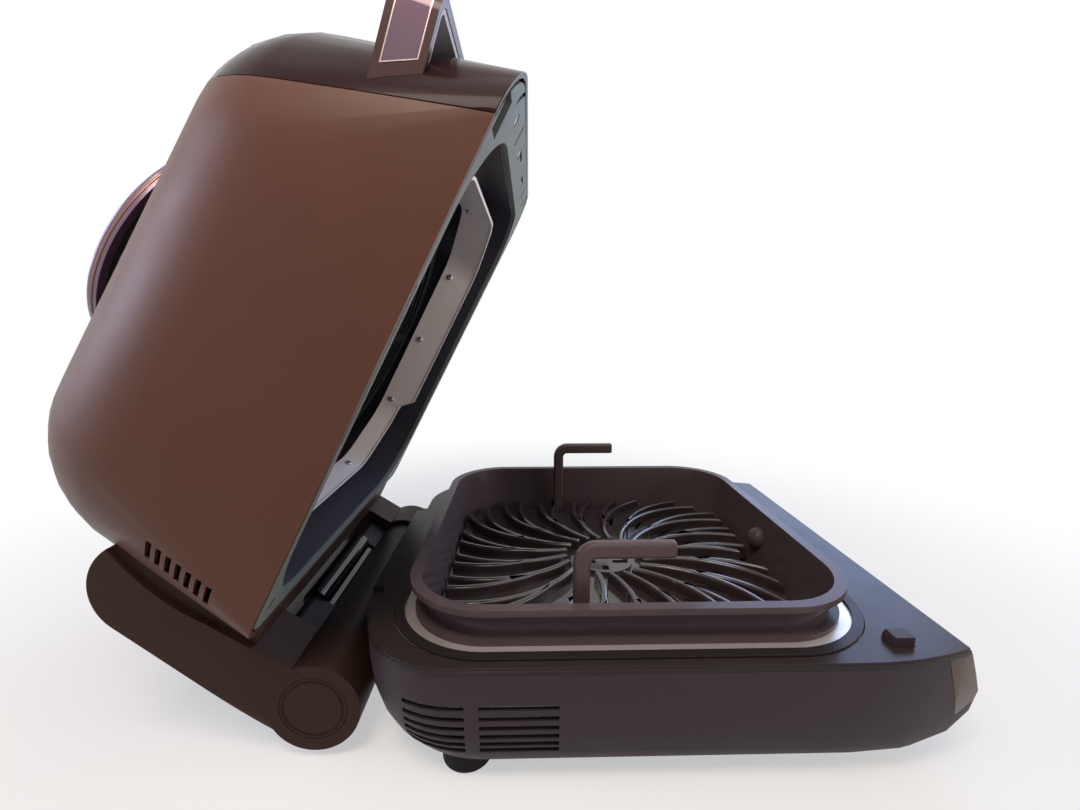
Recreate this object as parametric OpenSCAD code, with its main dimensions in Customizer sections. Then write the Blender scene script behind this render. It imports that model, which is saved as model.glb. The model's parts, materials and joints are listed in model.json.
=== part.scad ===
// Air fryer grill: a countertop cooker with a hinged lid, shown with the lid open.
// Lengths are in millimetres, angles in degrees. +Z is up and the front faces -Y.
// The origin is on the table, under the middle of the open cooker.
// Base pieces are drawn about the pot's axis. Lid pieces are drawn shut, then swung open.

/* [Base] */
// Deck beside the pot's rim
deck_side = 17.5; // [16:0.5:24]
// Deck in front of the pot's rim
deck_front = 47; // [42:1:60]
// Deck behind the pot's rim
deck_rear = 24; // [20:1:30]
// Height of the deck above the table
deck_h = 78; // [72:1:90]
// Thickness of the deck moulding
deck_t = 4; // [3:0.5:6]
// Wall of the base housing
base_wall = 3; // [2:0.5:4]
// Radius of the deck's rear corners
rear_corner_r = 59; // [50:1:66]
// Radius of the long bow that narrows the deck towards its front
front_bow_r = 200; // [160:5:260]
// From the pot's axis to where that bow begins
front_bow_start = 120; // [100:1:130]
// How far the front bulges past the deck edge
front_bulge = 16; // [8:1:20]
// How far the underside tucks in at the front
front_tuck = 75; // [40:1:80]
// Height of the front tuck
front_tuck_h = 28; // [24:1:34]
// How far the underside tucks in at the rear
rear_tuck = 22; // [14:1:26]
// Height of the rear tuck
rear_tuck_h = 46; // [36:1:54]
// How far the underside tucks in at each side
side_tuck = 10; // [4:1:12]
// Height of the side tuck
side_tuck_h = 57; // [30:1:57]
// Thickness of the bottom plate
floor_t = 2.5; // [2:0.5:4]

/* [Feet] */
// Height of the rubber feet
foot_h = 14; // [10:1:18]
// Diameter of the rubber feet
foot_d = 30; // [22:1:34]
// Rear feet in from the base's side
rear_foot_side = 28.5; // [28:0.5:40]
// Rear feet in from the base's rear
rear_foot_back = 63; // [62:1:80]
// Front feet in from the base's side
front_foot_side = 52.5; // [46:0.5:66]
// Front feet in from the base's front
front_foot_back = 83; // [80:1:96]
// Bottom plate's screws in from the base's side
floor_screw_side = 25.5; // [24:0.5:32]

/* [Well] */
// Gap between the pot's rim and the edge of the opening in the deck
well_gap = 11; // [9:0.5:12]
// Width of the dark trim ring round the opening
trim_w = 6.5; // [5:0.5:8]
// Thickness of the trim ring
trim_t = 1.8; // [1.2:0.2:2]
// Thickness of the steel liner
liner_t = 1; // [0.6:0.1:1.5]
// Liner's wall in from the pot's rim
liner_inset = 5.5; // [4.5:0.5:6.5]
// Posts under the liner in from its wall
liner_post_in = 38.5; // [34:0.5:60]
// Height of the liner's floor above the bottom plate
liner_floor_gap = 10; // [6:1:14]

/* [Pot] */
// Width of the square pot across its rim
pot_w = 280; // [260:1:310]
// Corner radius of the rim
pot_corner_r = 52; // [46:1:60]
// How far the rim stands above the deck
pot_stand = 23; // [20:1:26]
// Depth of the pot, outside
pot_depth = 66; // [58:1:68]
// Wall of the pot
pot_wall = 1.8; // [1.2:0.2:2.4]
// Width of the rolled lip
lip_w = 5; // [3:0.5:6]
// Height of the rolled lip
lip_h = 4; // [3:0.5:6]
// How far the wall slopes in from lip to floor
pot_taper = 7; // [5:0.5:8]
// Thickness of the ledge that hangs the pot on the liner
ledge_t = 3; // [2:0.5:4]
// Radius of the edge of the pot's floor
pot_floor_r = 8; // [6:0.5:12]
// Radius of the boss on the pot's front wall
pot_boss_r = 9; // [5:0.5:10]
// Depth of that boss below the rim
pot_boss_drop = 22; // [16:0.5:24]

/* [Grill plate] */
// Gap between the grill plate and the pot's wall
grill_gap = 0.45; // [0.3:0.05:3]
// Thickness of the plate under its ribs
grill_t = 4; // [3:0.5:5]
// Height of the ribs
rib_h = 8; // [6:0.5:10]
// Width of a rib at its foot
rib_w = 5; // [4:0.5:6]
// Depth of the rib tops below the pot's rim
grill_drop = 34; // [32:1:38]
// Number of long ribs
rib_count = 20; // [12:1:22]
// Radius of the curve of a rib
rib_curve_r = 90; // [80:5:120]
// Height of the lifting handles above the pot's rim
lifter_rise = 31; // [25:1:34]
// Length of a lifting handle's arm
lifter_len = 61; // [45:1:65]
// Depth of the handle's bar
lifter_bar = 10; // [8:0.5:11]
// Thickness of the handle's bar across the pot
lifter_t = 8; // [6:0.5:9]
// Radius of the bar's edges
lifter_edge_r = 2.5; // [1:0.5:3]
// Inner radius of the handle's bend
lifter_bend_r = 4; // [2:0.5:8]

/* [Lid] */
// How far the lid stands open
open_angle = 62.4; // [50:0.1:65]
// Lid's rim in from the deck's sides
lid_side_in = 3.5; // [2:0.5:5]
// Lid's rim in from the deck's front
lid_front_in = 11; // [8:1:14]
// Lid's rim in from the deck's rear
lid_rear_in = 12; // [10:1:14]
// Gap between the shut lid's rim and the deck
lid_gap = 1.5; // [1.2:0.1:3]
// Wall of the lid mouldings
lid_wall = 2.8; // [2:0.2:3.4]
// Radius of the rim's front corners
lid_front_r = 34; // [28:1:40]
// Radius of the rim's rear corners
lid_rear_r = 12; // [8:1:16]
// Height of the crown's front above the rim
crown_front_h = 165; // [158:1:170]
// Height of the crown's rear above the rim
crown_rear_h = 181; // [175:1:188]
// Radius of the crown's front edges
crown_front_r = 85; // [75:1:92]
// Radius of the crown's rear edges
crown_rear_r = 90; // [80:1:96]
// How far each side leans in from rim to crown
side_lean = 7.5; // [6:0.5:9]
// How far the rear wall bulges past the rim's rear
rear_bulge = 28; // [22:1:32]
// Lean of the front face
front_lean = 5.5; // [4:0.5:8]
// Depth of the fascia at the rim
fascia_d = 32; // [28:1:36]
// Lean of that seam
fascia_seam_lean = 16.5; // [14:0.5:19]
// Gap at seams between mouldings
seam = 0.3; // [0.2:0.1:0.5]
// Number of vent slots in each side of the lid
lid_slots = 7; // [4:1:8]

/* [Vent cap] */
// Radius of the round cap over the steam vent
cap_r = 86; // [84:1:92]
// Thickness of the cap
cap_t = 8; // [6:0.5:9]
// Gap under the cap
cap_gap = 8; // [7.5:0.5:11]
// Vent behind the pot's axis
vent_y = 5; // [0:1:10]

/* [Handle] */
// Bow handle's ends in from the lid's sides
handle_side_in = 12; // [10:0.5:18]
// How far the bow stands off the fascia
handle_reach = 12; // [10:0.5:20]
// Thickness of the bow
handle_t = 4.5; // [3.5:0.5:6]
// Depth of the bow along the fascia
handle_d = 24; // [20:0.5:28]
// Radius of the bow's corners
handle_corner_r = 11; // [9:0.5:20]
// Height of the bow's middle above the lid's rim
handle_z = 56; // [50:0.5:60]
// Upward lean of the bow from the level
handle_lean = 9.6; // [7:0.1:13]
// Thickness of the grey lining on the bow's inner side
handle_under_t = 2.5; // [2:0.5:4]
// Width of the bow's border beside the inlay
handle_border = 3.5; // [3:0.5:6]
// Width of the finger recess behind the bow
recess_w = 200; // [160:5:220]
// Height of the finger recess
recess_h = 40; // [34:1:44]
// Depth of the finger recess
recess_d = 15; // [12:0.5:15.5]

/* [Lid inside] */
// Thickness of the frame that closes the lid's underside
frame_t = 3.5; // [3:0.5:4.5]
// Gap between the frame's edge and the lid's wall
frame_gap = 0.9; // [0.6:0.1:1.4]
// Gap between the pot's rim and the sides of the black cavity
cavity_gap = 2; // [1.5:0.1:2.2]
// Frame's opening beyond the cavity's sides
frame_step = 1.5; // [1:0.1:2.5]
// Frame's opening in front of the pot's rim
frame_front_gap = 10; // [7:0.5:12]
// Frame's opening behind the pot's rim
frame_rear_gap = 6; // [5:0.5:7]
// Height of the cavity's ceiling above the rim
cavity_h = 70; // [66:1:74]
// Gap between the reflector band and the pot's inner wall
reflector_gap = 2; // [1.5:0.1:3]
// Reach of the reflector band below the pot's rim
reflector_drop = 9; // [6:0.5:10]
// Distance behind the pot's middle from which the band is cut back to clear the rim
reflector_step = 70; // [50:5:75]
// Height of the reflector band
reflector_h = 30; // [26:1:34]
// Chamfer at the reflector's corners
reflector_chamfer = 44; // [36:1:50]
// Diameter of the heating tube
heater_d = 7; // [6:0.5:8]
// Width of the heating loop
heater_w = 180; // [176:1:184]
// Radius of the fan guard
guard_r = 105; // [100:1:106]
// Radius of the circulation fan
fan_r = 66; // [55:1:70]
// Diameter of the motor
motor_d = 62; // [50:1:70]
// Length of the motor
motor_len = 34; // [28:1:38]
// Diameter of the motor shaft
shaft_d = 8; // [6:0.5:10]

/* [Hinge] */
// Hinge axis behind the deck's rear edge
hinge_back = 28; // [26:1:31]
// Hinge axis above the table
hinge_z = 33; // [32:1:36]
// Diameter of the hinge pin
pin_d = 10; // [8:0.5:12]
// Radial running clearance on the pin and shaft
run_gap = 0.05; // [0.03:0.01:0.09]
// Radius of the bosses at the ends of the lid's arms
boss_r = 28; // [26:0.5:29]
// Radius of the base's barrel between the arms
barrel_r = 24; // [20:0.5:25]
// Half the width over the hinge arms
arm_out = 130; // [126:1:132]
// Half the width between the hinge arms
arm_in = 89; // [84:1:92]
// Wall of the hinge bracket
arm_wall = 4; // [3:0.5:5]
// Diameter of the caps over the pin's ends
hinge_cap_d = 40; // [34:1:44]

/* [Hidden] */
$fn = 64;
form_fn = 40;
eps = 0.01;
big = 600;

// The origin lies under the middle of the open cooker
pot_y = -79;

// Widths and reaches from the pot's axis
base_w = pot_w + 2 * deck_side;
base_front = pot_w / 2 + deck_front;
base_rear = pot_w / 2 + deck_rear;
lid_w = base_w - 2 * lid_side_in;
lid_front = base_front - lid_front_in;
lid_rear = base_rear - lid_rear_in;
fascia_seam_y = lid_front - fascia_d;
handle_w = lid_w - 2 * handle_side_in;
well_w = pot_w + 2 * well_gap;
well_corner_r = pot_corner_r + well_gap;
liner_w = pot_w - 2 * liner_inset;
cavity_w = pot_w + 2 * cavity_gap;
frame_open_w = cavity_w + 2 * frame_step;
frame_open_front = pot_w / 2 + frame_front_gap;
frame_open_rear = pot_w / 2 + frame_rear_gap;
hinge_y = base_rear + hinge_back;

// Heights above the table
rim_h = deck_h + pot_stand;
lid_z = deck_h + lid_gap;
flange_z = deck_h - deck_t + 2.4;
liner_floor_z = foot_h + floor_t + liner_floor_gap;
pot_floor_z = rim_h - pot_depth;
grill_top = rim_h - grill_drop;
grill_z = grill_top - rib_h - grill_t;
fit = 0.3;
seat = 0.1;

// Inner width of the pot at height z, and the grill plate that fits it
function pot_inside(z) = pot_w - 2 * (lip_w + pot_wall)
    - 2 * pot_taper * (rim_h + 1 - z) / (rim_h + 1 - pot_floor_z - pot_wall - pot_floor_r);
grill_w = pot_inside(grill_z) - 2 * grill_gap;

// Slope of the crown, the plane that rests on its front and rear edge spheres
front_c_z = lid_z + crown_front_h - crown_front_r;
front_c_y = -lid_front + (crown_front_r + (front_c_z - lid_z) * sin(front_lean)) / cos(front_lean);
rear_c_z = lid_z + crown_rear_h - crown_rear_r;
rear_c_y = lid_rear + rear_bulge - crown_rear_r;
crown_run = rear_c_y - front_c_y;
crown_rise = rear_c_z - front_c_z;
crown_slope = atan2(crown_rise, crown_run)
    + asin((crown_rear_r - crown_front_r) / norm([crown_run, crown_rise]));
crown_z0 = front_c_z + crown_front_r / cos(crown_slope) - front_c_y * tan(crown_slope);
crown_half_w = lid_w / 2 - side_lean;

// Inside of the lid
ceiling_z = lid_z + cavity_h;
liner_seat_z = lid_z + frame_t;
reflector_z = rim_h - reflector_drop;
reflector_w = pot_inside(reflector_z) - 2 * reflector_gap;
reflector_lift = 2;
heater_z = ceiling_z - 14;
heater_r = heater_d / 2;
guard_z = ceiling_z - 27;
guard_t = 2;
motor_z = ceiling_z + 9;

// Control panel
panel_top = deck_h - deck_t;
panel_bottom = foot_h + 20;
panel_lean = atan((front_bulge - 1.5) / (panel_top - foot_h - front_tuck_h));
panel_t = 3;
panel_mid_z = (panel_top + foot_h + front_tuck_h) / 2;
board_gap = 12;

// Interlock plunger on the deck's left front corner
plunger_x = 18.5 - base_w / 2;
plunger_y = 38 - base_front;
plunger_l = 13;
plunger_w = 9;
plunger_rise = 5.5;
plunger_travel = 3;
plunger_flange_t = 1.6;
switch_z = deck_h - deck_t - 9;
switch_h = 14;

// Places children given about the pot's axis
module in_base() {
    translate([0, pot_y, 0]) children();
}

// Swings children drawn for the shut lid up to the open angle
module in_lid() {
    in_base()
        translate([0, hinge_y, hinge_z])
            rotate([-open_angle, 0, 0])
                translate([0, -hinge_y, -hinge_z]) children();
}

// Copies children to the other side of the middle plane
module both_sides() {
    children();
    mirror([1, 0, 0]) children();
}

// Rectangle with half width x from y0 to y1, with its own radius at each end
module round_ends(x, y0, y1, r0, r1) {
    translate([-x, y0 + r0]) square([2 * x, y1 - y0 - r0 - r1]);
    translate([-x + r0, y0]) square([2 * (x - r0), r0 + eps]);
    translate([-x + r1, y1 - r1 - eps]) square([2 * (x - r1), r1 + eps]);
    both_sides() {
        translate([x - r0, y0 + r0]) circle(r0);
        translate([x - r1, y1 - r1]) circle(r1);
    }
}

// Square of width w with round corners
module round_square(w, r) {
    round_ends(w / 2, -w / 2, w / 2, r, r);
}

// Square tube of width w and wall t
module square_tube(w, r, t, h) {
    linear_extrude(h) difference() {
        round_square(w, r);
        round_square(w - 2 * t, r - t);
    }
}

// Flat bar that runs from one circle to another, its sides a hair inside their tangents
module taper_link(p, rp, q, rq) {
    hair = 2 * eps;
    d = norm(q - p);
    a = atan2(q[1] - p[1], q[0] - p[0]);
    b = acos((rp - rq) / d);
    polygon([
        p + (rp - hair) * [cos(a + b), sin(a + b)],
        q + (rq - hair) * [cos(a + b), sin(a + b)],
        q + (rq - hair) * [cos(a - b), sin(a - b)],
        p + (rp - hair) * [cos(a - b), sin(a - b)]
    ]);
    translate(p) circle(rp);
    translate(q) circle(rq);
}

// Draws a (y, z) outline as a slab from x0 to x1
module along_x(x0, x1) {
    translate([x0, 0, 0]) rotate([90, 0, 90]) linear_extrude(x1 - x0) children();
}

// Outline of the base: straight rear corners, sides that bow in towards the front
module base_outline(w, front, rear, r) {
    half = w / 2;
    translate([-half, -front_bow_start]) square([w, front_bow_start + rear - r]);
    translate([-half + r, rear - r - eps]) square([w - 2 * r, r + eps]);
    both_sides() translate([half - r, rear - r]) circle(r);
    intersection() {
        translate([-half, -front]) square([w, front - front_bow_start + eps]);
        translate([half - front_bow_r, -front_bow_start]) circle(front_bow_r);
        translate([front_bow_r - half, -front_bow_start]) circle(front_bow_r);
    }
}

// How far round the tuck curve is at height z above the bottom edge, 0 to 1
function tuck(z, h) = z >= h ? 1 : sqrt(1 - pow(1 - z / h, 2));
function front_at(z) = base_front + front_bulge - front_tuck * (1 - tuck(z, front_tuck_h))
    - max(0, z - front_tuck_h) * tan(panel_lean);
function rear_at(z) = base_rear - rear_tuck * (1 - tuck(z, rear_tuck_h));
function width_at(z) = base_w - 2 * side_tuck * (1 - tuck(z, side_tuck_h));

// Hull-shaped body of the base, drawn in by inset
module base_form(inset, drop) {
    wall_h = deck_h - deck_t - foot_h;
    levels = [0, 0.04, 0.14, 0.3, 0.52, 0.75, 1];
    $fn = form_fn;
    hull() for (s = levels) {
        z = s * wall_h;
        translate([0, 0, foot_h + z - (s == 0 ? drop : 0) + (s == 1 ? drop - eps : 0)])
            linear_extrude(eps)
                base_outline(width_at(z) - 2 * inset, front_at(z) - inset, rear_at(z) - inset,
                             rear_corner_r - inset);
    }
}

// Space taken by the control panel at the front of the base
module panel_zone(gap) {
    seam_y = base_front - 16;
    seam_lean = 18;
    translate([0, -seam_y + gap, panel_top])
        rotate([-seam_lean, 0, 0])
            translate([-big / 2, -big, -(panel_top - panel_bottom) / cos(seam_lean) - gap])
                cube([big, big, big]);
}

// Row heights of the cooling slots low in the base's sides
base_slot_rows = [for (k = [0:5]) deck_h - 24 - 7.2 * k + 0.28 * k * k];

module base_slots() {
    slot_h = 3;
    columns = [[base_rear - 117, base_rear - 73], [base_rear - 65, base_rear - 30]];
    for (z = base_slot_rows, c = columns)
        both_sides()
            translate([base_w / 2 - 40, c[0], z - slot_h / 2]) cube([60, c[1] - c[0], slot_h]);
}

// The base's neck carries the hinge barrel between the lid's arms
neck_half = arm_in - 2;
neck_rear = base_rear + 8;
neck_wall = neck_rear - base_rear + base_wall;
neck_z = foot_h + 2;
shelf_h = 34;

// Gland for the power cord in the neck's rear wall, midway between the neck's shelf and the deck
gland_d = 12;
gland_flange_d = gland_d + 4;
gland_x = neck_half - gland_flange_d / 2 - 9;
gland_z = (deck_h - deck_t + neck_z + shelf_h) / 2;
gland_wall = neck_rear - rear_at(gland_z - gland_flange_d / 2 - foot_h) + base_wall + fit;

module base_shell() {
    color("#33261f") in_base() difference() {
        union() {
            difference() {
                base_form(0, 0);
                base_form(base_wall, 1);
                panel_zone(seam);
                base_slots();
            }
            intersection() {
                difference() {
                    along_x(-neck_half, neck_half) {
                        translate([hinge_y, hinge_z]) circle(barrel_r);
                        translate([base_rear - rear_tuck, neck_z])
                            square([hinge_y - base_rear + rear_tuck, shelf_h]);
                        translate([base_rear - rear_tuck, neck_z])
                            square([neck_rear - base_rear + rear_tuck, deck_h - deck_t - neck_z]);
                    }
                    base_form(base_wall, 1);
                }
                translate([-big / 2, 0, 0]) cube(big);
            }
        }
        translate([-arm_in, hinge_y, hinge_z]) rotate([0, 90, 0])
            cylinder(d = pin_d + 2 * run_gap, h = 2 * arm_in);
        translate([gland_x, neck_rear + 1, gland_z]) rotate([90, 0, 0])
            cylinder(d = gland_d + 2 * seat, h = neck_wall + 2);
    }
}

foot_places = [
    for (y = [front_foot_back - base_front, base_rear - rear_foot_back], x = [-1, 1])
        [x * (base_w / 2 - (y < 0 ? front_foot_side : rear_foot_side)), y]
];
liner_post = liner_w / 2 - liner_post_in;

module base_floor() {
    vent_rows = 7;
    color("#231c19") in_base() difference() {
        union() {
            translate([0, 0, foot_h]) linear_extrude(floor_t)
                base_outline(width_at(0) - 2 * base_wall - 2 * fit, front_at(0) - base_wall - fit,
                             rear_at(0) - base_wall - fit, rear_corner_r - base_wall);
            for (x = [-1, 1], y = [-1, 1])
                translate([x * liner_post, y * liner_post, foot_h])
                    cylinder(d = 14, h = floor_t + liner_floor_gap - seat);
        }
        for (k = [0:vent_rows - 1])
            translate([-45, -36 + 12 * k - 2, foot_h - 1]) cube([90, 4, floor_t + 2]);
        for (p = foot_places)
            translate([p[0], p[1], foot_h - 1]) cylinder(d = 8 + 2 * seat, h = floor_t + 2);
        for (p = screw_places)
            translate([p[0], p[1], foot_h - 1]) cylinder(d = 3.4, h = floor_t + 2);
    }
}

screw_places = [
    for (x = [-1, 1], y = [117 - base_front, 0, base_rear - 114]) [x * (base_w / 2 - floor_screw_side), y]
];

module base_screws() {
    color("#8b8b8b") in_base() for (p = screw_places) translate([p[0], p[1], foot_h - 2]) {
        cylinder(d = 7, h = 2 - seat / 2);
        cylinder(d = 3, h = 2 + floor_t + 6);
    }
}

module foot(p) {
    color("#1b1b1c") in_base() translate([p[0], p[1], 0]) {
        rotate_extrude() {
            square([foot_d / 2 - 2, foot_h]);
            translate([0, 2]) square([foot_d / 2, foot_h - 2]);
            translate([foot_d / 2 - 2, 2]) circle(2);
        }
        cylinder(d = 8, h = foot_h + floor_t + 1);
    }
}

module deck() {
    edge = 1.5;
    ledge_w = well_w - 20;
    color("#2b211c") in_base() difference() {
        union() {
            translate([0, 0, deck_h - deck_t]) linear_extrude(deck_t - edge)
                base_outline(base_w, base_front, base_rear, rear_corner_r);
            translate([0, 0, deck_h - edge - eps]) linear_extrude(edge + eps)
                base_outline(base_w - edge, base_front - edge / 2, base_rear - edge / 2,
                             rear_corner_r - edge / 2);
            translate([-neck_half + 16, base_rear - 20, deck_h - deck_t])
                cube([2 * neck_half - 32, neck_rear - base_rear + 20, deck_t]);
            for (y = [-1, 1])
                translate([plunger_x, plunger_y + y * 15, switch_z])
                    cylinder(d = 6, h = deck_h - deck_t - switch_z + 1);
        }
        translate([0, 0, flange_z]) linear_extrude(deck_t) round_square(well_w, well_corner_r);
        linear_extrude(deck_h) round_square(ledge_w, well_corner_r - 10);
        translate([plunger_x - plunger_w / 2 - fit, plunger_y - plunger_l / 2 - fit, deck_h - deck_t - 1])
            cube([plunger_w + 2 * fit, plunger_l + 2 * fit, deck_t + 2]);
    }
}

module well_trim() {
    color("#3a3836") in_base() translate([0, 0, flange_z + liner_t])
        square_tube(well_w - 2 * fit, well_corner_r - fit, trim_w, trim_t);
}

module well_liner() {
    liner_r = well_corner_r - (well_w - liner_w) / 2;
    color("#b9b4ae") in_base() difference() {
        union() {
            translate([0, 0, flange_z]) linear_extrude(liner_t)
                round_square(well_w - 2 * fit, well_corner_r - fit);
            translate([0, 0, liner_floor_z]) linear_extrude(flange_z - liner_floor_z + eps)
                round_square(liner_w + 2 * liner_t, liner_r + liner_t);
        }
        translate([0, 0, liner_floor_z + liner_t]) linear_extrude(deck_h) round_square(liner_w, liner_r);
    }
}

// Places children on the control panel's outer face: x across, y up the face, z out of it
module on_panel() {
    translate([0, -front_at(panel_mid_z - foot_h), panel_mid_z])
        rotate([90 - panel_lean, 0, 0]) children();
}

window_w = 120;
window_h = 18;
board_w = 150;
board_h = 26;

module control_panel() {
    color("#1a1514") in_base() difference() {
        union() {
            intersection() {
                difference() {
                    base_form(0, 0);
                    base_form(panel_t, 1);
                }
                panel_zone(0);
            }
            on_panel() for (x = [-1, 1])
                translate([x * (board_w / 2 - 6), 0, -board_gap]) cylinder(d = 6, h = board_gap - 1);
        }
        on_panel() translate([-window_w / 2 - seat, -window_h / 2 - seat, -1.2])
            cube([window_w + 2 * seat, window_h + 2 * seat, 10]);
    }
}

module display_window() {
    color("#08090b") in_base() on_panel() translate([-window_w / 2, -window_h / 2, -1.2 + seat])
        cube([window_w, window_h, 1]);
}

module control_board() {
    color("#1f5a3a") in_base() on_panel() {
        translate([-board_w / 2, -board_h / 2, -board_gap - 1.6 - seat]) cube([board_w, board_h, 1.6]);
        for (x = [-45, -15, 20, 50])
            translate([x - 5, -6, -board_gap - seat - 1.6 - 5]) cube([10, 12, 5 + eps]);
    }
}

module interlock_switch() {
    switch_l = 34;
    switch_w = 10;
    color("#2a2a2e") in_base() difference() {
        translate([plunger_x - switch_w / 2, plunger_y - switch_l / 2, switch_z - switch_h])
            cube([switch_w, switch_l, switch_h - seat]);
        for (y = [-1, 1])
            translate([plunger_x, plunger_y + y * 8, switch_z - switch_h / 2]) rotate([0, 90, 0])
                cylinder(d = 3.2, h = 30, center = true);
    }
}

module interlock_plunger() {
    flange_top = deck_h - deck_t - seat;
    color("#1c1716") in_base() translate([plunger_x, plunger_y, 0]) {
        difference() {
            translate([-plunger_w / 2, -plunger_l / 2, flange_top - plunger_flange_t])
                cube([plunger_w, plunger_l, deck_h + plunger_rise - flange_top + plunger_flange_t]);
            translate([-plunger_w, plunger_l / 2, deck_h + plunger_rise - 3])
                rotate([30, 0, 0]) cube([2 * plunger_w, plunger_l, plunger_l]);
        }
        translate([-plunger_w / 2 - 1.5, -plunger_l / 2 - 1.5, flange_top - plunger_flange_t])
            cube([plunger_w + 3, plunger_l + 3, plunger_flange_t]);
        stem_bottom = switch_z + plunger_travel + fit;
        translate([0, 0, stem_bottom]) cylinder(d = 5, h = flange_top - stem_bottom);
    }
}

module cord_gland() {
    nut_t = 3;
    color("#151516") in_base() translate([gland_x, neck_rear, gland_z]) rotate([-90, 0, 0]) difference() {
        union() {
            translate([0, 0, -gland_wall - nut_t - 2]) cylinder(d = gland_d, h = gland_wall + nut_t + 10);
            translate([0, 0, seat]) cylinder(d = gland_flange_d, h = 3);
            translate([0, 0, -gland_wall - nut_t]) cylinder(d = gland_flange_d, h = nut_t);
        }
        translate([0, 0, -gland_wall - nut_t - 3]) cylinder(d = 8, h = gland_wall + nut_t + 12);
    }
}

pin_half = arm_out - 12;

module hinge_pin() {
    color("#9c9c9e") in_base() translate([-pin_half, hinge_y, hinge_z]) rotate([0, 90, 0])
        cylinder(d = pin_d, h = 2 * pin_half);
}

// Glossy rounded guard over the wires that cross from the base to the lid
cover_p = [hinge_y + 30, hinge_z + 21.5];
cover_r = 9;
cover_half = 50;

module hinge_cover() {
    axis = [hinge_y, hinge_z];
    reach = cover_p - axis;
    web_t = cover_r - 2;
    color("#0d0d10") in_base() along_x(-cover_half, cover_half) difference() {
        union() {
            translate(cover_p) circle(cover_r);
            translate(axis) rotate(atan2(reach[1], reach[0])) translate([0, -web_t / 2])
                square([norm(reach) + 1, web_t]);
        }
        translate(axis) circle(barrel_r + seat);
    }
}

// Outline of the lid's rim, drawn in by inset, with its corners cut back by relief
module lid_outline(inset, relief = 0) {
    round_ends(lid_w / 2 - inset, -lid_front + inset, lid_rear - inset, lid_front_r - inset + relief,
               lid_rear_r - inset + relief);
}

// Smooth body of the shut lid, drawn in by inset
module lid_form(inset, drop) {
    $fn = form_fn;
    intersection() {
        hull() {
            translate([0, 0, lid_z - drop]) linear_extrude(eps) lid_outline(inset);
            both_sides() {
                translate([crown_half_w - crown_front_r, front_c_y, front_c_z])
                    sphere(crown_front_r - inset);
                translate([crown_half_w - crown_rear_r, rear_c_y, rear_c_z])
                    sphere(crown_rear_r - inset);
            }
        }
        translate([-big / 2, -big / 2, lid_z - drop]) cube(big);
    }
}

// Everything in front of the seam between shell and fascia
module fascia_zone(gap) {
    translate([0, -fascia_seam_y + gap, lid_z])
        rotate([-fascia_seam_lean, 0, 0])
            translate([-big / 2, -big, -big / 2]) cube(big);
}

// Places children on the crown at the vent: z stands square to the crown
module on_vent() {
    translate([0, vent_y, crown_z0 + vent_y * tan(crown_slope)])
        rotate([crown_slope, 0, 0]) children();
}

vent_r = 80;

module lid_side_slots() {
    slot_l = 12;
    slot_h = 3.5;
    pitch = 6.5;
    for (k = [0:lid_slots - 1])
        both_sides()
            translate([lid_w / 2 - 60, lid_rear - 28 + 0.95 * k, lid_z + 68 - pitch * k - slot_h / 2])
                cube([70, slot_l, slot_h]);
}

module lid_shell() {
    color("#4a352b") in_lid() difference() {
        lid_form(0, 0);
        lid_form(lid_wall, 1);
        fascia_zone(seam);
        on_vent() translate([0, 0, -15]) cylinder(r = vent_r + fit, h = 40);
        lid_side_slots();
    }
}

// Places children on the fascia's front face: x across, -y out of it, z up the face
module on_fascia() {
    translate([0, -lid_front + handle_z * tan(front_lean), lid_z + handle_z])
        rotate([-front_lean, 0, 0]) children();
}

// Recess in the fascia for the fingers behind the bow, grown on all sides but the front
module finger_recess(grow) {
    on_fascia() translate([-recess_w / 2 - grow, -big + recess_d + grow, -recess_h / 2 - grow])
        cube([recess_w + 2 * grow, big, recess_h + 2 * grow]);
}

module lid_fascia() {
    color("#3a2622") in_lid() difference() {
        union() {
            intersection() {
                difference() {
                    lid_form(0, 0);
                    lid_form(lid_wall, 1);
                }
                fascia_zone(0);
            }
            intersection() {
                lid_form(0, 0);
                finger_recess(lid_wall);
            }
        }
        finger_recess(0);
    }
}

// Places children on the bow: x across, -y towards the user, z up, with the bow's own lean
module on_handle() {
    on_fascia() rotate([front_lean - handle_lean, 0, 0]) children();
}

// Plan of the bow handle, drawn in by inset: its legs end inside the lid's front corners
module bow_outline(inset) {
    round_ends(handle_w / 2 - inset, -handle_reach + inset, 60, handle_corner_r - inset, 2);
}

// Plan of the bow's band between two insets
module bow_band(outer, inner) {
    difference() {
        bow_outline(outer);
        bow_outline(inner);
        translate([-handle_w / 2 + 40, 20]) square([handle_w - 80, 60]);
    }
}

inlay_t = 1.4;
inlay_h = handle_d - 2 * handle_border;
inlay_foot = handle_border;

module handle_bow() {
    color("#3f2d2a") in_lid() difference() {
        on_handle() translate([0, 0, -handle_d / 2]) linear_extrude(handle_d) bow_band(0, handle_t);
        difference() {
            on_handle() translate([0, 0, -inlay_h / 2]) linear_extrude(inlay_h) bow_band(-1, inlay_t);
            lid_form(-inlay_foot, 0);
        }
        lid_form(-seat, 0);
    }
}

module handle_inlay() {
    color("#6d5a66") in_lid() difference() {
        on_handle() translate([0, 0, -inlay_h / 2 + seat]) linear_extrude(inlay_h - 2 * seat)
            bow_band(0, inlay_t - seat);
        lid_form(-inlay_foot - fit, 0);
    }
}

module handle_underside() {
    lining_d = handle_d - 1;
    color("#7f8286") in_lid() difference() {
        on_handle() translate([0, 0, -lining_d / 2]) linear_extrude(lining_d)
            bow_band(handle_t + seat, handle_t + handle_under_t);
        lid_form(-seat, 0);
    }
}

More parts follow.
